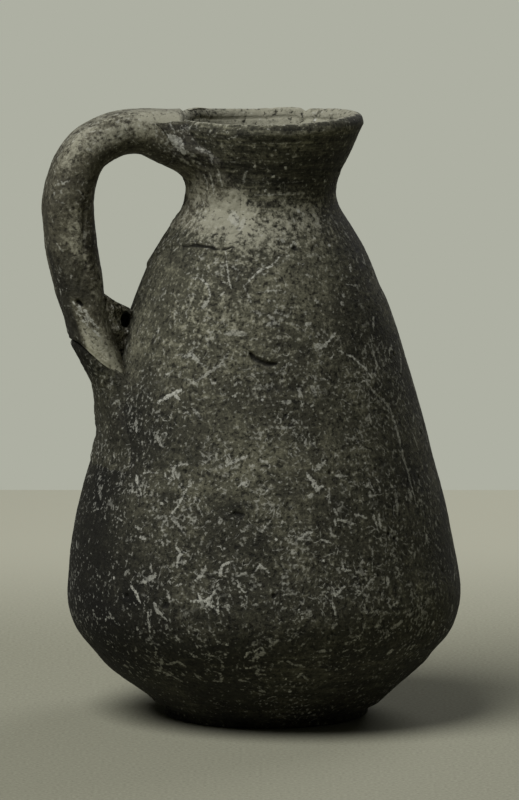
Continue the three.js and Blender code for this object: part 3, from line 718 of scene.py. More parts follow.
    "thickets": [(-14, 64, 20, 12, 0.35), (20, 98, 14, 10, 0.35), (-22, 112, 16, 14, 0.2),
                 (30, 62, 20, 16, 0.2), (-72, 72, 26, 34, -0.8), (76, 90, 18, 50, -0.35), (-48, 104, 20, 26, -0.3)],
    "strokeCount": 900,
    "pitCount": 420,
}


def degreesToSkin(points):
    return [(math.radians(degrees), float(placeAt(height))) for degrees, height in points]


def strokesToSkin(strokes, thinned=1.0):
    # flat rows of half width, tone and places, as lines for drawRoots
    return [(degreesToSkin(zip(places[::2], places[1::2])), half * thinned, tone)
            for half, tone, *places in strokes]


def softSpots(spots, edge=2):
    # overlapping soft ovals given by their place, half spans and strength
    total = np.zeros_like(angleGrid)
    for degrees, height, wide, tall, strength in spots:
        far = ((degreeGrid - degrees) / wide) ** 2 + ((heightGrid - height) / tall) ** 2
        total += strength * np.exp(-far ** (edge / 2))
    return total


def growthAt(degrees, height):
    # how thickly roots grew there
    total = np.interp(height, *zip(*potMarks["growth"]))
    for middle, level, wide, tall, strength in potMarks["thickets"]:
        total = total + strength * np.exp(-((degrees - middle) / wide) ** 2 - ((height - level) / tall) ** 2)
    return np.clip(total, 0, 1.4)


def paintPot():
    random = np.random.default_rng(41)
    layers = newLayers(angleGrid.shape)
    swell = swells(basePoints, 1, [(58, 0.45), (21, 0.24), (8, 0.11)])
    wiping = swells(basePoints, 4, [((26, 26, 1.7), 1), ((17, 17, 0.95), 0.7)])
    grit = swells(basePoints, 6, [(2.1, 0.05), (1.15, 0.055)])
    neckWipe = smoothStep(heightGrid, 196, 206)
    footWipe = fade(heightGrid, 26, 44)
    layers["wipe"] = 0.25 + 0.75 * np.maximum(neckWipe, 0.5 * footWipe)
    layers["rise"] = swell - 0.3 + wiping * 0.06 * layers["wipe"] + grit
    layers["bloomAndLight"] = softSpots(potMarks["bloomAndLight"])
    innerHalf = smoothStep(np.arange(len(section))[:, None], lipRow + 6, lipRow + 13)
    layers["bloomAndLight"] += 0.8 * innerHalf
    # painted shade, darker towards the bottom and in the shade spots, and painted light where the spots are negative
    lowShade = np.interp(heightGrid, *zip(*potMarks["lowShade"]))
    layers["shade"] = np.clip(lowShade * (1 - softSpots(potMarks["shade"], 3)), 0.1, 1.2)
    layers["growth"] = growthAt(degreeGrid, heightGrid)
    return random, layers


random, potLayers = paintPot()


def markPot():
    layers = potLayers
    roots = strokesToSkin(potMarks["strokes"], 0.8)
    roots += [([at, (at[0] + 0.003, at[1] + 0.3)], 0.5, 1.0) for at in degreesToSkin(potMarks["grains"])]
    while len(roots) < potMarks["strokeCount"]:
        height, angle = random.uniform(6, 228), random.uniform(-3.05, 3.05)
        if random.random() > growthAt(math.degrees(angle), height) * outerRadius(height) / 78:
            continue
        length = float(np.clip(random.lognormal(0.95, 0.65), 0.8, 13))
        path = wanderingRoot(random, angle, float(placeAt(height)), float(outerRadius(height)), length, 0.55)
        tone = 0.12 + 0.55 * random.random() ** 1.6
        roots.append((path, random.uniform(0.15, 0.5) + 0.4 * random.random() ** 4, tone))
        if random.random() < 0.25:
            fork = path[len(path) // 2]
            branch = wanderingRoot(random, *fork, float(outerRadius(height)), length * 0.5, 0.5)
            roots.append((branch, random.uniform(0.15, 0.3), tone))
    drawRoots(potSkin, layers, roots)

    pits = [(*degreesToSkin([(degrees, height)])[0], radius, depth, 0.9)
            for degrees, height, radius, depth in potMarks["pits"]]
    for _ in range(potMarks["pitCount"]):
        height = random.uniform(4, 230)
        radius = random.uniform(0.45, 1.0)
        pits.append((random.uniform(-3.05, 3.05), float(placeAt(height)), radius, radius * 0.4,
                     random.uniform(0.1, 0.75)))
    pressPits(potSkin, layers, pits)
    for places, half, depth, dark in potMarks["grooves"]:
        pressLine(potSkin, layers, degreesToSkin(places), half, depth, dark)


def layOverlap():
    # the skin of clay that stands proud over the crack on the shoulder
    layers = potLayers
    degrees, heights = np.array(potMarks["crack"]).T
    line = np.interp(degreeGrid, degrees, heights) + 0.5 * lumps(basePoints, 5, 9)
    line = np.where(degreeGrid < degrees[0], line - (degrees[0] - degreeGrid) * 0.28, line)
    above = heightGrid - line
    span = smoothStep(degreeGrid, -118, -96) * fade(degreeGrid, -30, -14) * onOutside
    proud = smoothStep(above, -0.35, 0.35) * np.exp(-np.clip(above, 0, None) / potMarks["lapReach"]) * span
    layers["rise"] += proud * potMarks["lapHeight"]
    gap = np.exp(-(above / potMarks["gapHalfWidth"]) ** 2) * smoothStep(degreeGrid, -66, -45)
    gap *= fade(degreeGrid, -17, -13) * onOutside * (0.75 + 0.4 * lumps(basePoints, 3, 10))
    gap *= 0.6 + 0.4 * smoothStep(degreeGrid, -52, -44)
    layers["rise"] -= gap * potMarks["gapDepth"]
    # painted shade in the gap under the lap
    layers["hollowShade"] = np.maximum(layers["hollowShade"], np.clip(gap * 1.3, 0, 1))


markPot()
layOverlap()
print("pot marked")

# Unevenness of the outline that the photograph shows, as [outward mm, height], on each side
outlineRight = [[0, 5], [0.7, 22], [0.2, 27], [0.9, 33], [0.2, 44], [0, 60], [0, 80], [0, 100], [0.5, 112],
                [0.6, 130], [0.7, 143], [0.5, 165], [0.2, 172], [0.9, 183], [0.8, 190], [0.3, 200], [0, 206],
                [-0.1, 214], [0, 222], [0.2, 232]]
outlineLeft = [[-1.4, 8], [0.8, 19], [0.6, 27], [0.9, 34], [0.5, 40], [-0.4, 50], [-0.4, 56], [0.3, 66],
               [0.4, 82], [-0.4, 97], [-0.7, 110], [0, 118]]


def insideCad(where):
    # the skin kept inside the box of the CAD model
    low, high = [np.array(corner) / millimetre for corner in cadBox]
    return np.clip(where, low + 0.02, high - 0.02)


def potPoints():
    layers = potLayers
    rise = layers["rise"].copy()
    toRight = np.clip(np.sin(angleGrid), 0, 1) ** 2 * onOutside
    toLeft = np.clip(-np.sin(angleGrid), 0, 1) ** 2 * onOutside
    rise += toRight * alongHeight(outlineRight, heightGrid)
    rise += toLeft * alongHeight(outlineLeft, heightGrid) * fade(heightGrid, 112, 120)
    rise *= np.where(heightGrid < 1, 0, 1)
    points = around(radiusGrid + normalOut * rise, heightGrid + normalUp * rise, angleGrid)
    # the lip was pinched round by hand: it waves and is chipped
    onLip = smoothStep(heightGrid, 222, 233)
    wave = np.interp(degreeGrid, *zip(*potMarks["lipWave"])) + 0.16 * lumps(basePoints, (6, 6, 60), 12)
    chips = np.clip(lumps(basePoints, (2.6, 2.6, 30), 13) - 0.35, 0, 1) * 0.7
    points[..., 2] += onLip * (wave - chips)
    return insideCad(points)


points = potPoints()
potNormals = gridNormals(points)


def potRing(name, low, high):
    # the ring of wall between two joints, with its inner side and joint faces; the lip has no joint above
    def inner(joint):
        return marks[("inside", joint + pot["lipBevel" if joint == pot["joints"][-1] else "jointBevel"])]

    rows = [*range(marks[("outside", low)], inner(low) + 1)]
    if high:
        outside = range(marks[("outside", low)], marks[("outside", high)] + 1)
        rows = [*outside, *range(inner(high), inner(low) + 1)]
    paint = paintOf(potLayers, lambda values: values[rows])
    quads = gridFaces(len(rows), columns, ringClosed=True)
    buildPiece(name, [name], wipedEarthenware, points[rows], quads, paint=paint, normals=potNormals[rows])


def potFoot():
    first = marks[("outside", pot["joints"][0])]
    inner = marks[("inside", pot["joints"][0] + pot["jointBevel"])]
    rows = list(range(0, first + 1)) + list(range(inner, len(section)))
    grid = points[rows]
    under, floor = [[0, 0, 0]], [[0, 0, pot["floorHeight"]]]
    vertices = np.concatenate([grid.reshape(-1, 3), under, floor])
    count, last = len(rows) * columns, len(rows) - 1
    triangles = np.concatenate([capFaces(0, count, columns, True), capFaces(last, count + 1, columns, False)])
    paint = paintOf(potLayers, lambda values: np.append(values[rows].ravel(), [0.0] * 2))
    paint["shade"][-2:] = 1.0
    normals = np.concatenate([potNormals[rows].reshape(-1, 3), [[0, 0, -1]], [[0, 0, 1]]])
    buildPiece("foot_disc", ["foot_disc"], wipedEarthenware, vertices,
               gridFaces(len(rows), columns), triangles, paint, normals)


potFoot()
rings = ["lower_wall", "belly_wall", "upper_wall", "shoulder_ring", "mouth_flare", "rolled_lip"]
for name, low, high in zip(rings, pot["joints"], pot["joints"][1:] + [None]):
    potRing(name, low, high)


# The handle: one strap of clay pulled round in a bow, from the lip to the upper wall

handle = {
    "turn": 13,  # degrees from -X towards -Y
    # reach, height, half thick, half wide
    "line": [[28, 227, 12.4, 15], [37, 228.3, 11.4, 14], [49.5, 231.3, 9.2, 12.3], [61.5, 230, 9.2, 12],
             [73, 222.3, 9.6, 12], [79, 207, 10.1, 12.2], [78.6, 190, 10.4, 12.3], [75.2, 172, 9.9, 12.6],
             [71.85, 158, 8.85, 13], [67.4, 142, 8.9, 14], [60, 128, 6, 15]],
    "squareness": 2.3,
    "furrowDepth": 0.9,
    "furrowWidth": 0.42,
    "trimPoint": [71.7, 145.7],
    "trimSlope": 40,
    "rootEdge": 33.6,  # it laps over the lip as far as this from the middle, towards -X
    "rows": 420,
    "sides": 176,
    "filletFoot": 5,
    "cutRounding": [1.2, 0.35],  # how far from the cut its edge is rounded, and how deep
    "rootMiddle": [34.6, 229.0],
    "rolls": [(1.2, 1.0), (1.7, 2.6), (1.4, 4.4)],  # how the top end turns down on to the lip: inward, down
    "footBulge": 1.5,
    "skinRadius": 11.0,
}
turn = math.radians(handle["turn"])
handleOut = np.array([-math.cos(turn), -math.sin(turn), 0])
handleSide = np.array([-math.sin(turn), math.cos(turn), 0])
handleMiddle = math.radians(handle["turn"] - 90)  # its place round the pot, from the front


def inHandlePlane(reach, height, aside):
    up = np.array([0, 0, 1.0])
    return reach[..., None] * handleOut + aside[..., None] * handleSide + height[..., None] * up


def handlePoint(t, a):
    # a point of the handle's skin at t along it and angle a round it; a = 0 is its outer side
    middle = throughPoints(handle["line"], t)
    ahead = throughPoints(handle["line"], np.clip(t + 1e-4, 0, 1))[..., :2]
    behind = throughPoints(handle["line"], np.clip(t - 1e-4, 0, 1))[..., :2]
    along = ahead - behind
    along /= np.linalg.norm(along, axis=-1, keepdims=True)
    normal = np.stack([-along[..., 1], along[..., 0]], -1)
    squared = [np.sign(v) * np.abs(v) ** (2 / handle["squareness"]) for v in (np.cos(a), np.sin(a))]
    furrow = handle["furrowDepth"] * np.exp(-(np.sin(a) / handle["furrowWidth"]) ** 2) * (np.cos(a) > 0)
    furrow = furrow * smoothStep(t, 0.08, 0.3)
    outward = squared[0] * middle[..., 2] - furrow
    aside = squared[1] * middle[..., 3]
    reach = middle[..., 0] + normal[..., 0] * outward
    height = middle[..., 1] + normal[..., 1] * outward
    return inHandlePlane(reach, height, aside)


def potDistance(where):
    # roughly how far a point is outside the pot, in mm
    x, y, z = np.moveaxis(where, -1, 0)
    radius = np.hypot(x - leanAt(z), y)
    widest, halfWidth, tall = pot["lipWidest"], pot["lipWidth"] / 2, pot["lipRise"]
    wall = (radius - outerRadius(z)) / np.hypot(1, outerSlope(np.clip(z, 1, widest - 1)))
    lipMiddle = outerRadius(float(widest)) - halfWidth
    lip = (np.hypot((radius - lipMiddle) / halfWidth, (z - widest) / tall) - 1) * pot["lipMeanHalf"]
    return np.where(z > widest, lip, wall)


def trimHeight(where):
    # how far a point is above the sloping cut at the handle's lower end
    reach = where @ handleOut
    slope = math.radians(handle["trimSlope"])
    rise = where[..., 2] - handle["trimPoint"][1] - (reach - handle["trimPoint"][0]) * math.tan(slope)
    return rise * math.cos(slope)


def handleEnds(angles):
    # where the skin of each side starts at the lip and ends at the cut or in the wall
    t, a = np.meshgrid(np.linspace(0, 0.3, 900), angles, indexing="ij")
    where = handlePoint(t, a)
    overLip = (where[..., 0] > -handle["rootEdge"]) & (where[..., 2] > 234)
    within = (potDistance(where) < -1.0) | overLip
    last = len(t) - 1 - np.argmax(within[::-1], axis=0)
    start = t[np.where(within.any(axis=0), last, 0), 0]
    t, a = np.meshgrid(np.linspace(0.75, 1, 900), angles, indexing="ij")
    where = handlePoint(t, a)
    ragged = 0.45 * lumps(where, 5, 21)
    gone = (trimHeight(where) < ragged - 0.45) | (potDistance(where) < -1.5)
    end = t[np.argmax(gone, axis=0), 0]
    for _ in range(6):
        start = (np.roll(start, 1) + 2 * start + np.roll(start, -1)) / 4
    return start, end


handleMarks = {
    # the darkness of pits and creases is painted shade in them
    "pits": [  # angle, share along, radius, depth, darkness
        (5.0, 0.819, 1.5, 1.3, 0.95), (4.4, 0.45, 0.6, 0.4, 0.95), (3.9, 0.7, 0.6, 0.5, 0.95),
        (5.1, 0.93, 0.7, 0.2, 0.6), (4.9, 0.943, 0.6, 0.2, 0.6), (4.95, 0.965, 0.6, 0.2, 0.5),
        (4.35, 0.93, 0.8, 0.2, 0.5), (4.6, 0.955, 0.5, 0.2, 0.4), (4.75, 0.92, 0.6, 0.2, 0.5)],
    "creases": [  # places, half width, depth, darkness
        ([(4.15, 0.44), (4.28, 0.52), (4.5, 0.62), (4.62, 0.69), (4.86, 0.757)], 1.1, 0.4, 0.3),
        ([(5.5, 0.3), (5.3, 0.4), (5.2, 0.5), (5.1, 0.62)], 1.8, 0.3, 0.0)],
    "crumbs": [(5.2, 0.835), (5.05, 0.845), (4.95, 0.85), (4.8, 0.845), (5.0, 0.865), (4.85, 0.87), (4.7, 0.86),
               (5.1, 0.87), (4.6, 0.87), (4.9, 0.885), (5.15, 0.89), (4.75, 0.895), (5.0, 0.9)],
    # painted light and painted shade in bands round the strap
    "patches": [  # layer, how much more, place round the strap, width, shares along it
        ("bloomAndLight", 0.45, 4.85, 0.32, 0.14, 0.33), ("bloomAndLight", 0.4, 4.65, 0.3, 0.5, 0.68),
        ("bloomAndLight", 0.25, 4.0, 0.5, 0.66, 0.8), ("bloomAndLight", 0.3, 5.35, 0.4, 0.3, 0.4),
        ("bloomAndLight", -0.22, 5.5, 0.35, 0.07, 0.24), ("shade", -0.2, 5.4, 0.6, 0.42, 0.54),
        ("shade", -0.5, 5.5, 0.9, 0.66, 0.82), ("shade", -0.2, 4.3, 0.3, 0.3, 0.42),
        ("shade", -0.25, 4.9, 0.7, 0.74, 0.8), ("shade", 0.35, 4.7, 0.3, 0.5, 0.66)],
    "rootCount": 70,
    "pitCount": 80,
}


def handleLayers(points, lengthAlong):
    random = np.random.default_rng(77)
    layers = newLayers(points.shape[:2])
    angles = anglesRound(handle["sides"])
    total, radius = lengthAlong[-1], handle["skinRadius"]
    skin = {"place": lengthAlong, "angle": angles, "radius": np.full(len(lengthAlong), radius)}
    layers["rise"] = swells(points, 31, [(26, 0.4), (9, 0.28), (4, 0.12), (2.0, 0.06), (1.1, 0.05)]) - 0.2
    layers["wipe"][:] = 0.15
    roots = []
    for _ in range(handleMarks["rootCount"]):
        path = wanderingRoot(random, random.uniform(0.2, 6), random.uniform(5, total - 12), radius,
                             float(np.clip(random.lognormal(1.2, 0.4), 1.6, 8)), 0.5)
        roots.append((path, random.uniform(0.2, 0.45), random.uniform(0.15, 0.5)))
    for angle, share in handleMarks["crumbs"]:
        path = wanderingRoot(random, angle, share * total, radius, 2.0, 0.9)
        roots.append((path, random.uniform(0.5, 0.9), random.uniform(0.75, 1.0)))
    drawRoots(skin, layers, roots)
    pits = [(angle, share * total, *rest) for angle, share, *rest in handleMarks["pits"]]
    for _ in range(handleMarks["pitCount"]):
        size = random.uniform(0.4, 0.9)
        pits.append((random.uniform(0.05, 6.2), random.uniform(2, total - 2), size, size * 0.4,
                     random.uniform(0.1, 0.65)))
    pressPits(skin, layers, pits)
    for places, half, depth, dark in handleMarks["creases"]:
        pressLine(skin, layers, [(angle, share * total) for angle, share in places], half, depth, dark)
    facingUp = gridNormals(points)[..., 2]
    share, round_ = (lengthAlong / total)[:, None], angles[None, :]
    # painted light where the strap faces up, painted shade where it faces down
    layers["bloomAndLight"] = 0.12 + 0.45 * smoothStep(facingUp, 0.1, 0.8)
    layers["shade"] -= 0.45 * smoothStep(-facingUp, 0.0, 0.6)
    # the near side of the foot is pale down to the cut, pale clay with painted light on it; its outer side and the
    # strap's outer edge above it get painted shade
    nearSide = smoothStep(round_, 3.9, 4.2) * fade(round_, 5.1, 5.35)
    layers["bloomAndLight"] += 0.85 * nearSide * smoothStep(share, 0.83, 0.93)
    outerSide = smoothStep(round_, 5.25, 5.5) + fade(round_, 0.1, 1.6)
    layers["shade"] -= 0.62 * outerSide * smoothStep(share, 0.74, 0.86)
    layers["shade"] -= 0.3 * (smoothStep(round_, 5.6, 6.1) + fade(round_, 0.1, 1.6)) * (share < 0.8)
    # a pale streak runs down from the top of the root, with the dark lip beside it
    rootPart = fade(share, 0.08, 0.2)
    layers["bloomAndLight"] += 0.4 * rootPart * smoothStep(round_, 4.9, 5.4)
    layers["bloomAndLight"] += 0.4 * rootPart * np.exp(-((round_ - 5.0 - 3.5 * share) / 0.24) ** 2)

    # patches of painted light and painted shade
    for layer, more, middle, width, low, high in handleMarks["patches"]:
        along = smoothStep(share, low - 0.04, low + 0.04) * fade(share, high - 0.04, high + 0.04)
        layers[layer] += more * along * np.exp(-((round_ - middle) / width) ** 4)
    # painted light on the near side, brightest towards the cut
    layers["shade"] += 0.35 * nearSide * smoothStep(share, 0.9, 0.97)
    layers["shade"] = np.clip(layers["shade"], 0.2, 1.4)
    return layers


def makeHandle():
    angles = anglesRound(handle["sides"])
    start, end = handleEnds(angles)
    share = np.linspace(0, 1, handle["rows"])[:, None]
    t = start[None, :] + (end - start)[None, :] * share
    a = np.broadcast_to(angles[None, :], t.shape)
    skin = handlePoint(t, a)
    normal = gridNormals(skin)
    centre = skin.mean(axis=1)
    lengthAlong = np.concatenate([[0], np.cumsum(np.linalg.norm(np.diff(centre, axis=0), axis=1))])
    layers = handleLayers(skin, lengthAlong)
    # it swells into the pot: the clay was wiped out on to the flare below and beside the root
    near = potDistance(skin)
    fillet = handle["filletFoot"]
    swell = np.clip(1 - near / fillet, 0, 1) ** 2 * fillet / 10 * (share > 0.5)
    # the cut edge at the foot is rounded over
    edge, depth = handle["cutRounding"]
    rounding = np.where(share > 0.5, (1 - np.clip(trimHeight(skin), 0, edge) / edge) ** 2 * depth, 0)
    relief = layers["rise"] * (0.3 + 0.7 * smoothStep(share, 0.02, 0.15))
    skin = skin + normal * (relief + swell - rounding)[..., None]
    # the top end rolls down on to the lip
    rootCentre = inHandlePlane(*np.array([*handle["rootMiddle"], 0.0])[:, None])
    footCentre = skin[-1].mean(axis=0)
    down = np.array([0, 0, 1.0])
    inward = -handleOut
    startRing, endRing = skin[0], skin[-1]
    raised = smoothStep(startRing[:, 2], 232, 236)[:, None]
    rolls = [startRing + raised * (inward * step - down * drop) for step, drop in handle["rolls"]]
    caps = [rolls[-1] + (rootCentre - rolls[-1]) * part for part in (0.3, 0.65)]
    top = caps[::-1] + rolls[::-1]
    bulge = down * handle["footBulge"]
    bottom = [endRing + (footCentre - endRing) * part + part * bulge for part in (0.06, 0.2, 0.5, 0.8)]
    grid = np.concatenate([top, skin, bottom])
    layers = {layer: np.pad(values, ((len(top), len(bottom)), (0, 0)), "edge") for layer, values in layers.items()}
    middles = [rootCentre.ravel(), footCentre + bulge]
    buildTube("handle", bloomedEarthenware, grid, middles, layers)


makeHandle()


# Clay wiped over the joins, laid on the wall

sheetDepth = 1.6  # how far the back of the wiped clay lies inside the wall
rimClay = {
    "rightEdge": [[-13, 193], [-15, 203], [-18, 208], [-24, 211.6], [-31, 221], [-38, 224], [-49, 226.5],
                  [-54, 229], [-59, 233], [-61, 236.5]],
    "leftEdge": [[-128, 193], [-130, 208], [-122, 222], [-112, 236.5]],  # degrees from the front, height
    "thickness": [[0.1, 193], [0.35, 200], [0.9, 209], [1.5, 217], [1.6, 224], [1.0, 229], [0.3, 234]],
    "low": 191,
    "span": [-134, -6],  # degrees
    "overLip": 11,  # rows past the widest part of the lip
    "blend": [(209, 4.5), (216, 6), (223, 12), (230, 4)],  # height and size of the hollow curve
    "ridge": [(-66, 231), (-58, 228.5), (-52, 225.5), (-44, 223.5)],
    "streaks": [  # like the pot's strokes
        (1.4, 0.55, -64, 232.4, -59, 229.4, -55, 226.4, -52.5, 223.6), (0.8, 0.35, -50, 224, -46, 222),
        (0.6, 0.3, -46, 225.6, -41, 224), (0.7, 0.4, -49, 220.6, -43, 219.2),
        (0.5, 0.3, -41, 226, -37, 222.6, -36, 219), (0.7, 0.45, -55, 221, -53, 218.6),
        (0.5, 0.5, -40, 216, -39, 208), (0.5, 0.5, -33, 218, -31, 211), (0.6, 0.4, -46, 215, -45, 209),
    ],
    "folds": [[(-58, 224.4), (-53, 222), (-48, 223.4)], [(-52, 228.4), (-46, 226.6)], [(-62, 221), (-56, 219)],
              [(-47, 220.6), (-42, 218.8)], [(-44, 228), (-40, 224.6)], [(-54, 218), (-47, 216.4)]],
    "crumbs": 0.85,
}
wallClay = {
    "thickness": [[0.1, 99], [0.7, 108], [2.4, 117], [4.2, 122.6], [6.5, 128], [8.6, 132.4], [11.6, 136.8],
                  [13.6, 139.2], [16.2, 142.4], [18.6, 144.8], [21.2, 148.4], [21.3, 150]],
    "halfSpread": [[0.42, 99], [0.42, 110], [0.36, 120], [0.28, 130], [0.245, 150]],  # radians round the wall
    "fullness": [[2, 99], [2.2, 120], [2.6, 135], [2.8, 150]],
    "underCut": 0.3,  # it lies this far below the cut, so that the handle's edge stands proud
    "low": 99,
    "high": 150,
    "rows": 120,
    "columns": 190,
    "crumbs": 0.8,
}


def onPot(height, angle):
    # the point of the pot's marked skin at that height and angle, with its outward normal
    first = marks[("outside", pot["joints"][0])]
    row = first + np.interp(height, section[first:lipRow, 1], np.arange(lipRow - first))
    column = np.interp(angle, columnAngle, np.arange(columns))
    lowRow, lowColumn = np.floor(row).astype(int), np.floor(column).astype(int)
    u, v = (row - lowRow)[..., None], (column - lowColumn)[..., None]

    def between(grid):
        near = grid[lowRow, lowColumn] * (1 - v) + grid[lowRow, lowColumn + 1] * v
        far = grid[lowRow + 1, lowColumn] * (1 - v) + grid[lowRow + 1, lowColumn + 1] * v
        return near * (1 - u) + far * u

    return between(points), between(potNormals)


def sewnSheets(front, back):
    # one closed skin from two sheets of points that share their outline's rows and columns
    rows, wide = front.shape[:2]
    loop = np.concatenate([front, back[:, ::-1]], axis=1)
    quads = [gridFaces(rows, 2 * wide)]
    for row, flip in ((0, True), (rows - 1, False)):
        left = row * 2 * wide + np.arange(wide)
        right = row * 2 * wide + 2 * wide - 1 - np.arange(wide)
        strip = np.stack([left[:-1], left[1:], right[1:], right[:-1]], -1)
        quads.append(strip[:, ::-1] if flip else strip)
    return loop, np.concatenate(quads)


def buildSheets(name, material, front, back, layers):
    loop, quads = sewnSheets(front, back)
    paint = paintOf(layers, lambda values: np.concatenate([values, values[:, ::-1]], axis=1))
    buildPiece(name, [name], material, loop, quads, paint=paint)


def handleGap(where):
    # roughly how far a point is from the handle's skin, in mm
    t = np.linspace(0, 0.4, 140)
    middle = throughPoints(handle["line"], t)
    ahead = np.gradient(middle[:, :2], axis=0)
    ahead /= np.linalg.norm(ahead, axis=1, keepdims=True)
    reach, height, aside = where @ handleOut, where[..., 2], where @ handleSide
    far = (reach[..., None] - middle[:, 0]) ** 2 + (height[..., None] - middle[:, 1]) ** 2
    nearest = far.argmin(axis=-1)
    middle, ahead, power = middle[nearest], ahead[nearest], handle["squareness"]
    outward = -(reach - middle[..., 0]) * ahead[..., 1] + (height - middle[..., 1]) * ahead[..., 0]
    size = np.abs(outward / middle[..., 2]) ** power + np.abs(aside / middle[..., 3]) ** power
    size = size ** (1 / power)
    span = np.sqrt(far.min(axis=-1) + aside ** 2)
    return (size - 1) * span / np.maximum(size, 0.05)


def blendReach(wall, out, thickness, blend):
    # how far from the wall, going out, the skin lies that joins the clay on it smoothly to the handle
    steps = np.linspace(0, 13, 40)
    reached = np.zeros(wall.shape[:2])
    open_ = np.ones(wall.shape[:2], bool)
    before = None
    for step in steps:
        where = wall + out * step
        onWall = potDistance(where) - thickness
        onHandle = handleGap(where) - 0.6 * fade(step, 4, 12)
        rounding = np.clip(blend - np.abs(onWall - onHandle), 0, None) ** 2 / (4 * blend)
        both = np.minimum(onWall, onHandle) - rounding
        if before is not None:
            share = np.clip(-before / np.where(both - before == 0, 1, both - before), 0, 1)
            reached = np.where(open_, step - steps[1] + share * steps[1], reached)
        open_ &= both < 0
        before = both
    return np.minimum(reached, 3 + 10 * smoothStep(handleGap(wall), -3.6, -2.2))


def makeRimClay():
    clay = rimClay
    low, high = np.searchsorted(section[:lipRow, 1], clay["low"]), lipRow + clay["overLip"]
    first, last = np.searchsorted(columnAngle, np.radians(clay["span"]))
    cut = (slice(low, high), slice(first, last))
    height, degrees = heightGrid[cut], degreeGrid[cut]
    where = basePoints[cut]
    crumbs = swells(where, 51, [(8, 0.35), (3.4, 0.4), (1.6, 0.3), (0.9, 0.12)])
    lobes = swells(where, 55, [(9, 3.2), (4, 2.2)])
    insideRight = (np.interp(height, *np.array(clay["rightEdge"]).T[::-1]) - degrees + lobes) * 0.6
    insideLeft = (degrees - np.interp(height, *np.array(clay["leftEdge"]).T[::-1]) + lobes) * 0.6
    inside = np.minimum(insideRight, insideLeft)  # mm from the smear's edge
    body = smoothStep(inside, 0, 3.5)
    thick = alongHeight(clay["thickness"], height) * (0.25 + 0.75 * body) + clay["crumbs"] * crumbs * body
    thick -= 1.1 * fade(inside, -1.2, 0.5)
    # the clay is drawn out into a hollow curve under and beside the handle
    out = np.stack([np.sin(angleGrid[cut]), -np.cos(angleGrid[cut]), np.zeros_like(height)], -1)
    blend = np.interp(height, *zip(*clay["blend"]))
    reach = blendReach(where, out, np.clip(thick, 0, None), blend) * smoothStep(height, 198, 206)
    thick = np.where(reach > thick, reach + (thick - np.clip(thick, 0, None)), thick)
    ends = np.minimum(height - clay["low"], np.arange(high - low)[::-1, None] * 0.35)
    thick -= fade(ends, 0, 2.5) * 1.2
    normal = potNormals[cut]
    layers = {layer: values[cut].copy() for layer, values in potLayers.items()}
    skin = {"place": potSkin["place"][low:high], "angle": columnAngle[first:last],
            "radius": potSkin["radius"][low:high]}
    layers["rise"] = thick
    layers["hollowShade"] *= 0.3
    pressLine(skin, layers, degreesToSkin(clay["ridge"]), 1.3, -0.8)
    for fold in clay["folds"]:
        pressLine(skin, layers, degreesToSkin(fold), 0.6, 0.5, 0.5)
    # painted shade in the hollows between the crumbs
    layers["hollowShade"] = np.maximum(layers["hollowShade"], 0.7 * np.clip(-crumbs - 0.25, 0, 0.5) * body)
    streaks = lumps(where, (2.6, 2.6, 16), 57) * 0.35 * fade(height, 214, 222)
    layers["bloomAndLight"] = np.maximum(layers["bloomAndLight"], 0.3 + 0.25 * body * smoothStep(crumbs, -0.3, 0.5) + streaks)
    # painted shade under and beside the handle's root, less where the clay runs over the handle's end
    layers["bloomAndLight"] -= 0.12 * smoothStep(height, 212, 220)
    onHandle = smoothStep(-degrees, 60, 68) * smoothStep(height, 226, 230)
    layers["bloomAndLight"] += 0.3 * onHandle
    layers["shade"] = 0.9 - 0.43 * smoothStep(height, 209, 218) * (1 - onHandle)
    drawRoots(skin, layers, strokesToSkin(clay["streaks"]))
    front = insideCad(points[cut] + out * layers["rise"][..., None])
    back = points[cut] - normal * sheetDepth
    buildSheets("handle_top_luting", bloomedEarthenware, front, back, layers)


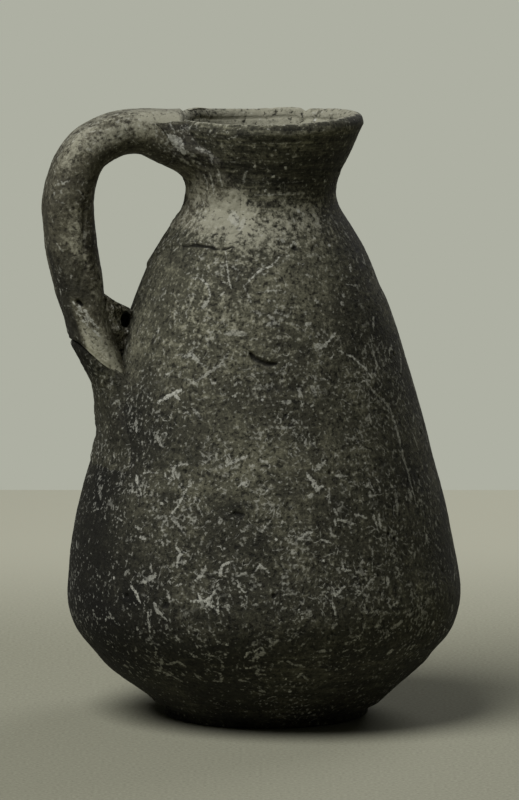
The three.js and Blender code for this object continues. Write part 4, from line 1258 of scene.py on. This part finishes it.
def makeWallClay():
    # drawn down from under the handle's cut: every row runs out from the wall parallel to the cut
    clay = wallClay
    slope = math.radians(handle["trimSlope"])
    heights = np.linspace(clay["low"], clay["high"], clay["rows"])
    wallReach = lambda z: outerRadius(z) - leanAt(z) * math.cos(turn)
    reach = wallReach(heights) + alongHeight(clay["thickness"], heights)
    steps = np.linspace(0, 34, 1400)
    back = reach[:, None] - steps * math.cos(slope) <= wallReach(heights[:, None] - steps * math.sin(slope))
    length = steps[back.argmax(axis=1)]
    foot = heights - length * math.sin(slope)
    across = np.linspace(-1.4, 1.4, clay["columns"])[None, :]
    angle = handleMiddle + across * alongHeight(clay["halfSpread"], heights)[:, None]
    wall, normal = onPot(foot[:, None] + 0 * across, angle)
    power = alongHeight(clay["fullness"], heights)[:, None]
    body = np.clip(1 - np.abs(across) ** power, 0, 1) ** (1 / power)
    away = handleOut * math.cos(slope) + np.array([0, 0, math.sin(slope)])
    front = wall + away * (length[:, None] * body)[..., None]
    crumbs = swells(front, 61, [(7, 0.5), (3.2, 0.35), (1.5, 0.2)])
    hollow = smoothStep(lumps(front, 9, 64), 0.1, 0.6) * 0.6
    out = gridNormalsOpen(front)
    edge = 1.2 * smoothStep(np.abs(across), 1.35, 0.95) - 0.9
    relief = np.where(np.abs(across) < 1, 0.3, edge) + clay["crumbs"] * crumbs * smoothStep(body, 0, 0.5)
    relief -= clay["underCut"] + hollow * smoothStep(heights, 126, 138)[:, None] * body
    relief += clay["underCut"] * fade(heights, 104, 122)[:, None]
    relief -= fade(heights, clay["low"], clay["low"] + 4)[:, None] * 0.9
    front = front + out * relief[..., None]
    # its top runs on a little past the cut, drawn back inside the handle
    front = front - 0.4 * smoothStep(trimHeight(front), -0.2, 0.6)[..., None] * handleOut
    over = np.clip(trimHeight(front) - 1.2, 0, None)
    drawnBack = np.array([0, 0, math.cos(slope)]) - handleOut * math.sin(slope)
    front = insideCad(front - over[..., None] * drawnBack)
    layers = newLayers(front.shape[:2])
    # painted shade in the crumbs' hollows and under the handle's cut; the whole sheet is darkened like the wall
    # around it, most of all in the facet under the cut's ridge
    layers["hollowShade"] = 0.4 * np.clip(-crumbs - 0.25, 0, 0.5) + 0.25 * smoothStep(heights, 130, 142)[:, None]
    layers["bloomAndLight"][:] = 0.06
    layers["growth"][:] = 0.75
    shadowUnderRidge = smoothStep(heights, 132, 142)[:, None] * fade(across, 0.55, 0.95)
    layers["shade"][:] = 0.72 - 0.52 * shadowUnderRidge
    back = wall - normal * sheetDepth
    buildSheets("handle_foot_luting", wipedEarthenware, front, back, layers)


makeRimClay()
makeWallClay()


# The rough lump in the crotch between the handle and the wall

lump = {
    "planLow": [[69, -4], [56, -1], [50, 4], [50, 9], [70, 10.5]],  # reach, aside
    "planHigh": [[69, -9.6], [57, -2.2], [46, 6.5], [46, 10.5], [69, 10]],
    "low": 128,
    "shelf": 149,
    "high": 159,
    "topSlope": 0.62,
    "hole": [56.2, 157.6, 2.2, 3.2],  # reach, height and half sizes
    "holeDepth": 7,
    "flecks": 130,
    "skinHeight": 30,  # rough measures of its skin, for the flecks
    "skinRadius": 9.5,
    "rows": 120,
    "sides": 220,
}


def roundPlan(plan, count):
    corners = np.array(plan + plan[:1], float)
    length = np.concatenate([[0], np.cumsum(np.linalg.norm(np.diff(corners, axis=0), axis=1))])
    at = np.arange(count) / count * length[-1]
    return np.column_stack([np.interp(at, length, corners[:, i]) for i in (0, 1)])


def makeLump():
    sides, rows = lump["sides"], lump["rows"]
    low, high = roundPlan(lump["planLow"], sides), roundPlan(lump["planHigh"], sides)
    rise = np.linspace(0, 1, rows)[:, None]
    height = lump["low"] + (lump["high"] - lump["low"]) * rise
    forward = smoothStep(height, lump["shelf"] - 3, lump["shelf"] + 1)
    reach = low[:, 0] + (high[:, 0] - low[:, 0]) * forward
    aside = low[:, 1] + (high[:, 1] - low[:, 1]) * forward
    top = lump["high"] + lump["topSlope"] * (reach - outerRadius(lump["high"]))
    z = lump["low"] + (top - lump["low"]) * rise
    where = inHandlePlane(reach, z, aside)
    normal = gridNormals(where)
    rough = swells(where, 71, [(5, 0.9), (2.4, 0.8), (1.2, 0.45)])
    where = where + normal * rough[..., None]
    where[..., 2] += rise ** 8 * swells(where, 74, [(3, 0.9), (1.4, 0.5)])
    where[..., 2] += np.clip(1.5 - trimHeight(where), 0, None) / math.cos(math.radians(handle["trimSlope"]))
    reachAt, heightAt, holeReach, holeHeight = lump["hole"]
    far = np.hypot((where @ handleOut - reachAt) / holeReach, (where[..., 2] - heightAt) / holeHeight)
    facing = normal @ handleSide < -0.1
    depth = fade(far, 0.75, 1.15) * lump["holeDepth"] * facing
    where = where + handleSide * depth[..., None]
    layers = newLayers(where.shape[:2])
    # painted shade deep in the hole, and a little painted light over the lump, which lies in the handle's shadow
    layers["hollowShade"] = np.clip(depth / 2.5, 0, 1) * 0.8
    layers["bloomAndLight"][:] = 0.18
    random = np.random.default_rng(5)
    tall, radius = lump["skinHeight"], lump["skinRadius"]
    skin = {"place": np.linspace(0, tall, rows), "angle": anglesRound(sides), "radius": np.full(rows, radius)}
    flecks = [wanderingRoot(random, random.uniform(0.1, 6.1), random.uniform(1, tall - 1), radius, 0.8, 0.5)
              for _ in range(lump["flecks"])]
    drawRoots(skin, layers, [(path, random.uniform(0.4, 0.9), random.uniform(0.7, 1.2)) for path in flecks])
    middles = [where[0].mean(axis=0), where[-1].mean(axis=0)]
    buildTube("crotch_lump", roughEarthenwarePaintedLight, where, middles, layers)


makeLump()
print("handle and clay made")


# Studio: a plain pale floor that ends behind the jug, paler at the back as painted light, pale air behind it, and
# soft light from the upper left

studio = {
    "floorTone": "#979683",
    # painted light: the paler tone of the floor at the back
    "farLitTone": "#bab9a6",
    "farBegins": [0.12, 0.46],  # metres behind the jug where the floor turns paler
    "airTone": "#aeb0a3",
    "fibreSize": 1.3,  # mm
    "fibreShade": [0.84, 1.16],
    "floorBehind": 0.62,
    "floorSize": 3.0,
    "airLight": 0.07,
    "lights": [  # name, place, size and power
        ("skylight", (-1.17, -0.98, 2.47), 1.9, 71),
        ("backLight", (0.6, 1.0, 0.85), 0.8, 5),
    ],
    # in front, a little above the mouth and tilted down: metres, degrees, and metres risen in each metre
    "camera": {"distance": 2.7, "metrePerPixel": 0.0003895, "mouth": 0.236, "rise": 0.088, "tilt": 7.375,
               "turn": 0.0537},
}


def paperFloor():
    # matt paper, plain, with a fine even grain; painted light makes it a little paler at the back
    material = bpy.data.materials.new("matt paper")
    tree = emptyTree(material)
    place = addNode(tree, "TexCoord").outputs["Object"]
    depth = addNode(tree, "SeparateXYZ", inputs=[place]).outputs["Y"]
    far = addNode(tree, "MapRange", smoothly, [depth, *studio["farBegins"]])
    near = addNode(tree, "Math", {"operation": "SUBTRACT"}, [1.0, far])
    fibres = addNode(tree, "TexNoise", inputs={"Vector": place, "Scale": perMetre(studio["fibreSize"]),
                                               "Detail": 3.0})
    grain = addNode(tree, "MapRange", inputs=[fibres, 0.3, 0.7, *studio["fibreShade"]])
    shade = addNode(tree, "Mix", inputs={"Factor": near, "A": 1.0, "B": grain})
    nearTone, farLitTone = linear(studio["floorTone"]), linear(studio["farLitTone"])
    colour = addNode(tree, "Mix", inColour, {0: far, 6: nearTone, 7: farLitTone})
    colour = addNode(tree, "Mix", colourTimes, {0: 1.0, 6: colour, 7: shade})
    shader = addNode(tree, "BsdfPrincipled", inputs={"Base Color": colour, "Roughness": 0.9, "IOR": 1.45})
    addNode(tree, "OutputMaterial", inputs={"Surface": shader})
    return material


def makeFloor():
    half, back = studio["floorSize"], studio["floorBehind"]
    mesh = bpy.data.meshes.new("floor")
    corners = [(-half, -half, 0), (half, -half, 0), (half, back, 0), (-half, back, 0)]
    mesh.from_pydata(corners, [], [(0, 1, 2, 3)])
    mesh.materials.append(paperFloor())
    floor = bpy.data.objects.new("floor", mesh)
    bpy.context.scene.collection.objects.link(floor)


def makeAir():
    world = bpy.data.worlds.new("air")
    tree = emptyTree(world)
    tone = linear(studio["airTone"])
    lighting, seen = [addNode(tree, "Background", inputs={"Color": tone, "Strength": strength})
                      for strength in (studio["airLight"], 1.0)]
    straight = addNode(tree, "LightPath").outputs["Is Camera Ray"]
    both = addNode(tree, "MixShader", inputs=[straight, lighting, seen])
    addNode(tree, "OutputWorld", inputs={"Surface": both})
    bpy.context.scene.world = world


def softLight(name, place, size, power, aim=(0, 0, 0.12)):
    data = bpy.data.lights.new(name, "AREA")
    data.shape = "DISK"
    data.size, data.energy = size, power
    light = bpy.data.objects.new(name, data)
    bpy.context.scene.collection.objects.link(light)
    light.location = place
    toward = np.array(aim) - np.array(place)
    light.rotation_euler = (math.atan2(math.hypot(toward[0], toward[1]), -toward[2]), 0,
                            math.atan2(toward[0], -toward[1]) + math.pi)


def makeCamera():
    # the focal length makes the frame's height of 800 pixels as many metres as it is in the photograph
    view = studio["camera"]
    data = bpy.data.cameras.new("camera")
    data.sensor_width = 36
    data.lens = data.sensor_width * view["distance"] / (view["metrePerPixel"] * 800)
    camera = bpy.data.objects.new("camera", data)
    bpy.context.scene.collection.objects.link(camera)
    camera.location = (0, -view["distance"], view["mouth"] + view["rise"] * view["distance"])
    camera.rotation_euler = (math.radians(90 - view["tilt"]), 0, math.radians(view["turn"]))
    bpy.context.scene.camera = camera


makeFloor()
makeAir()
for light in studio["lights"]:
    softLight(*light)
makeCamera()
bpy.context.scene.view_settings.view_transform = "Standard"
print("studio made")
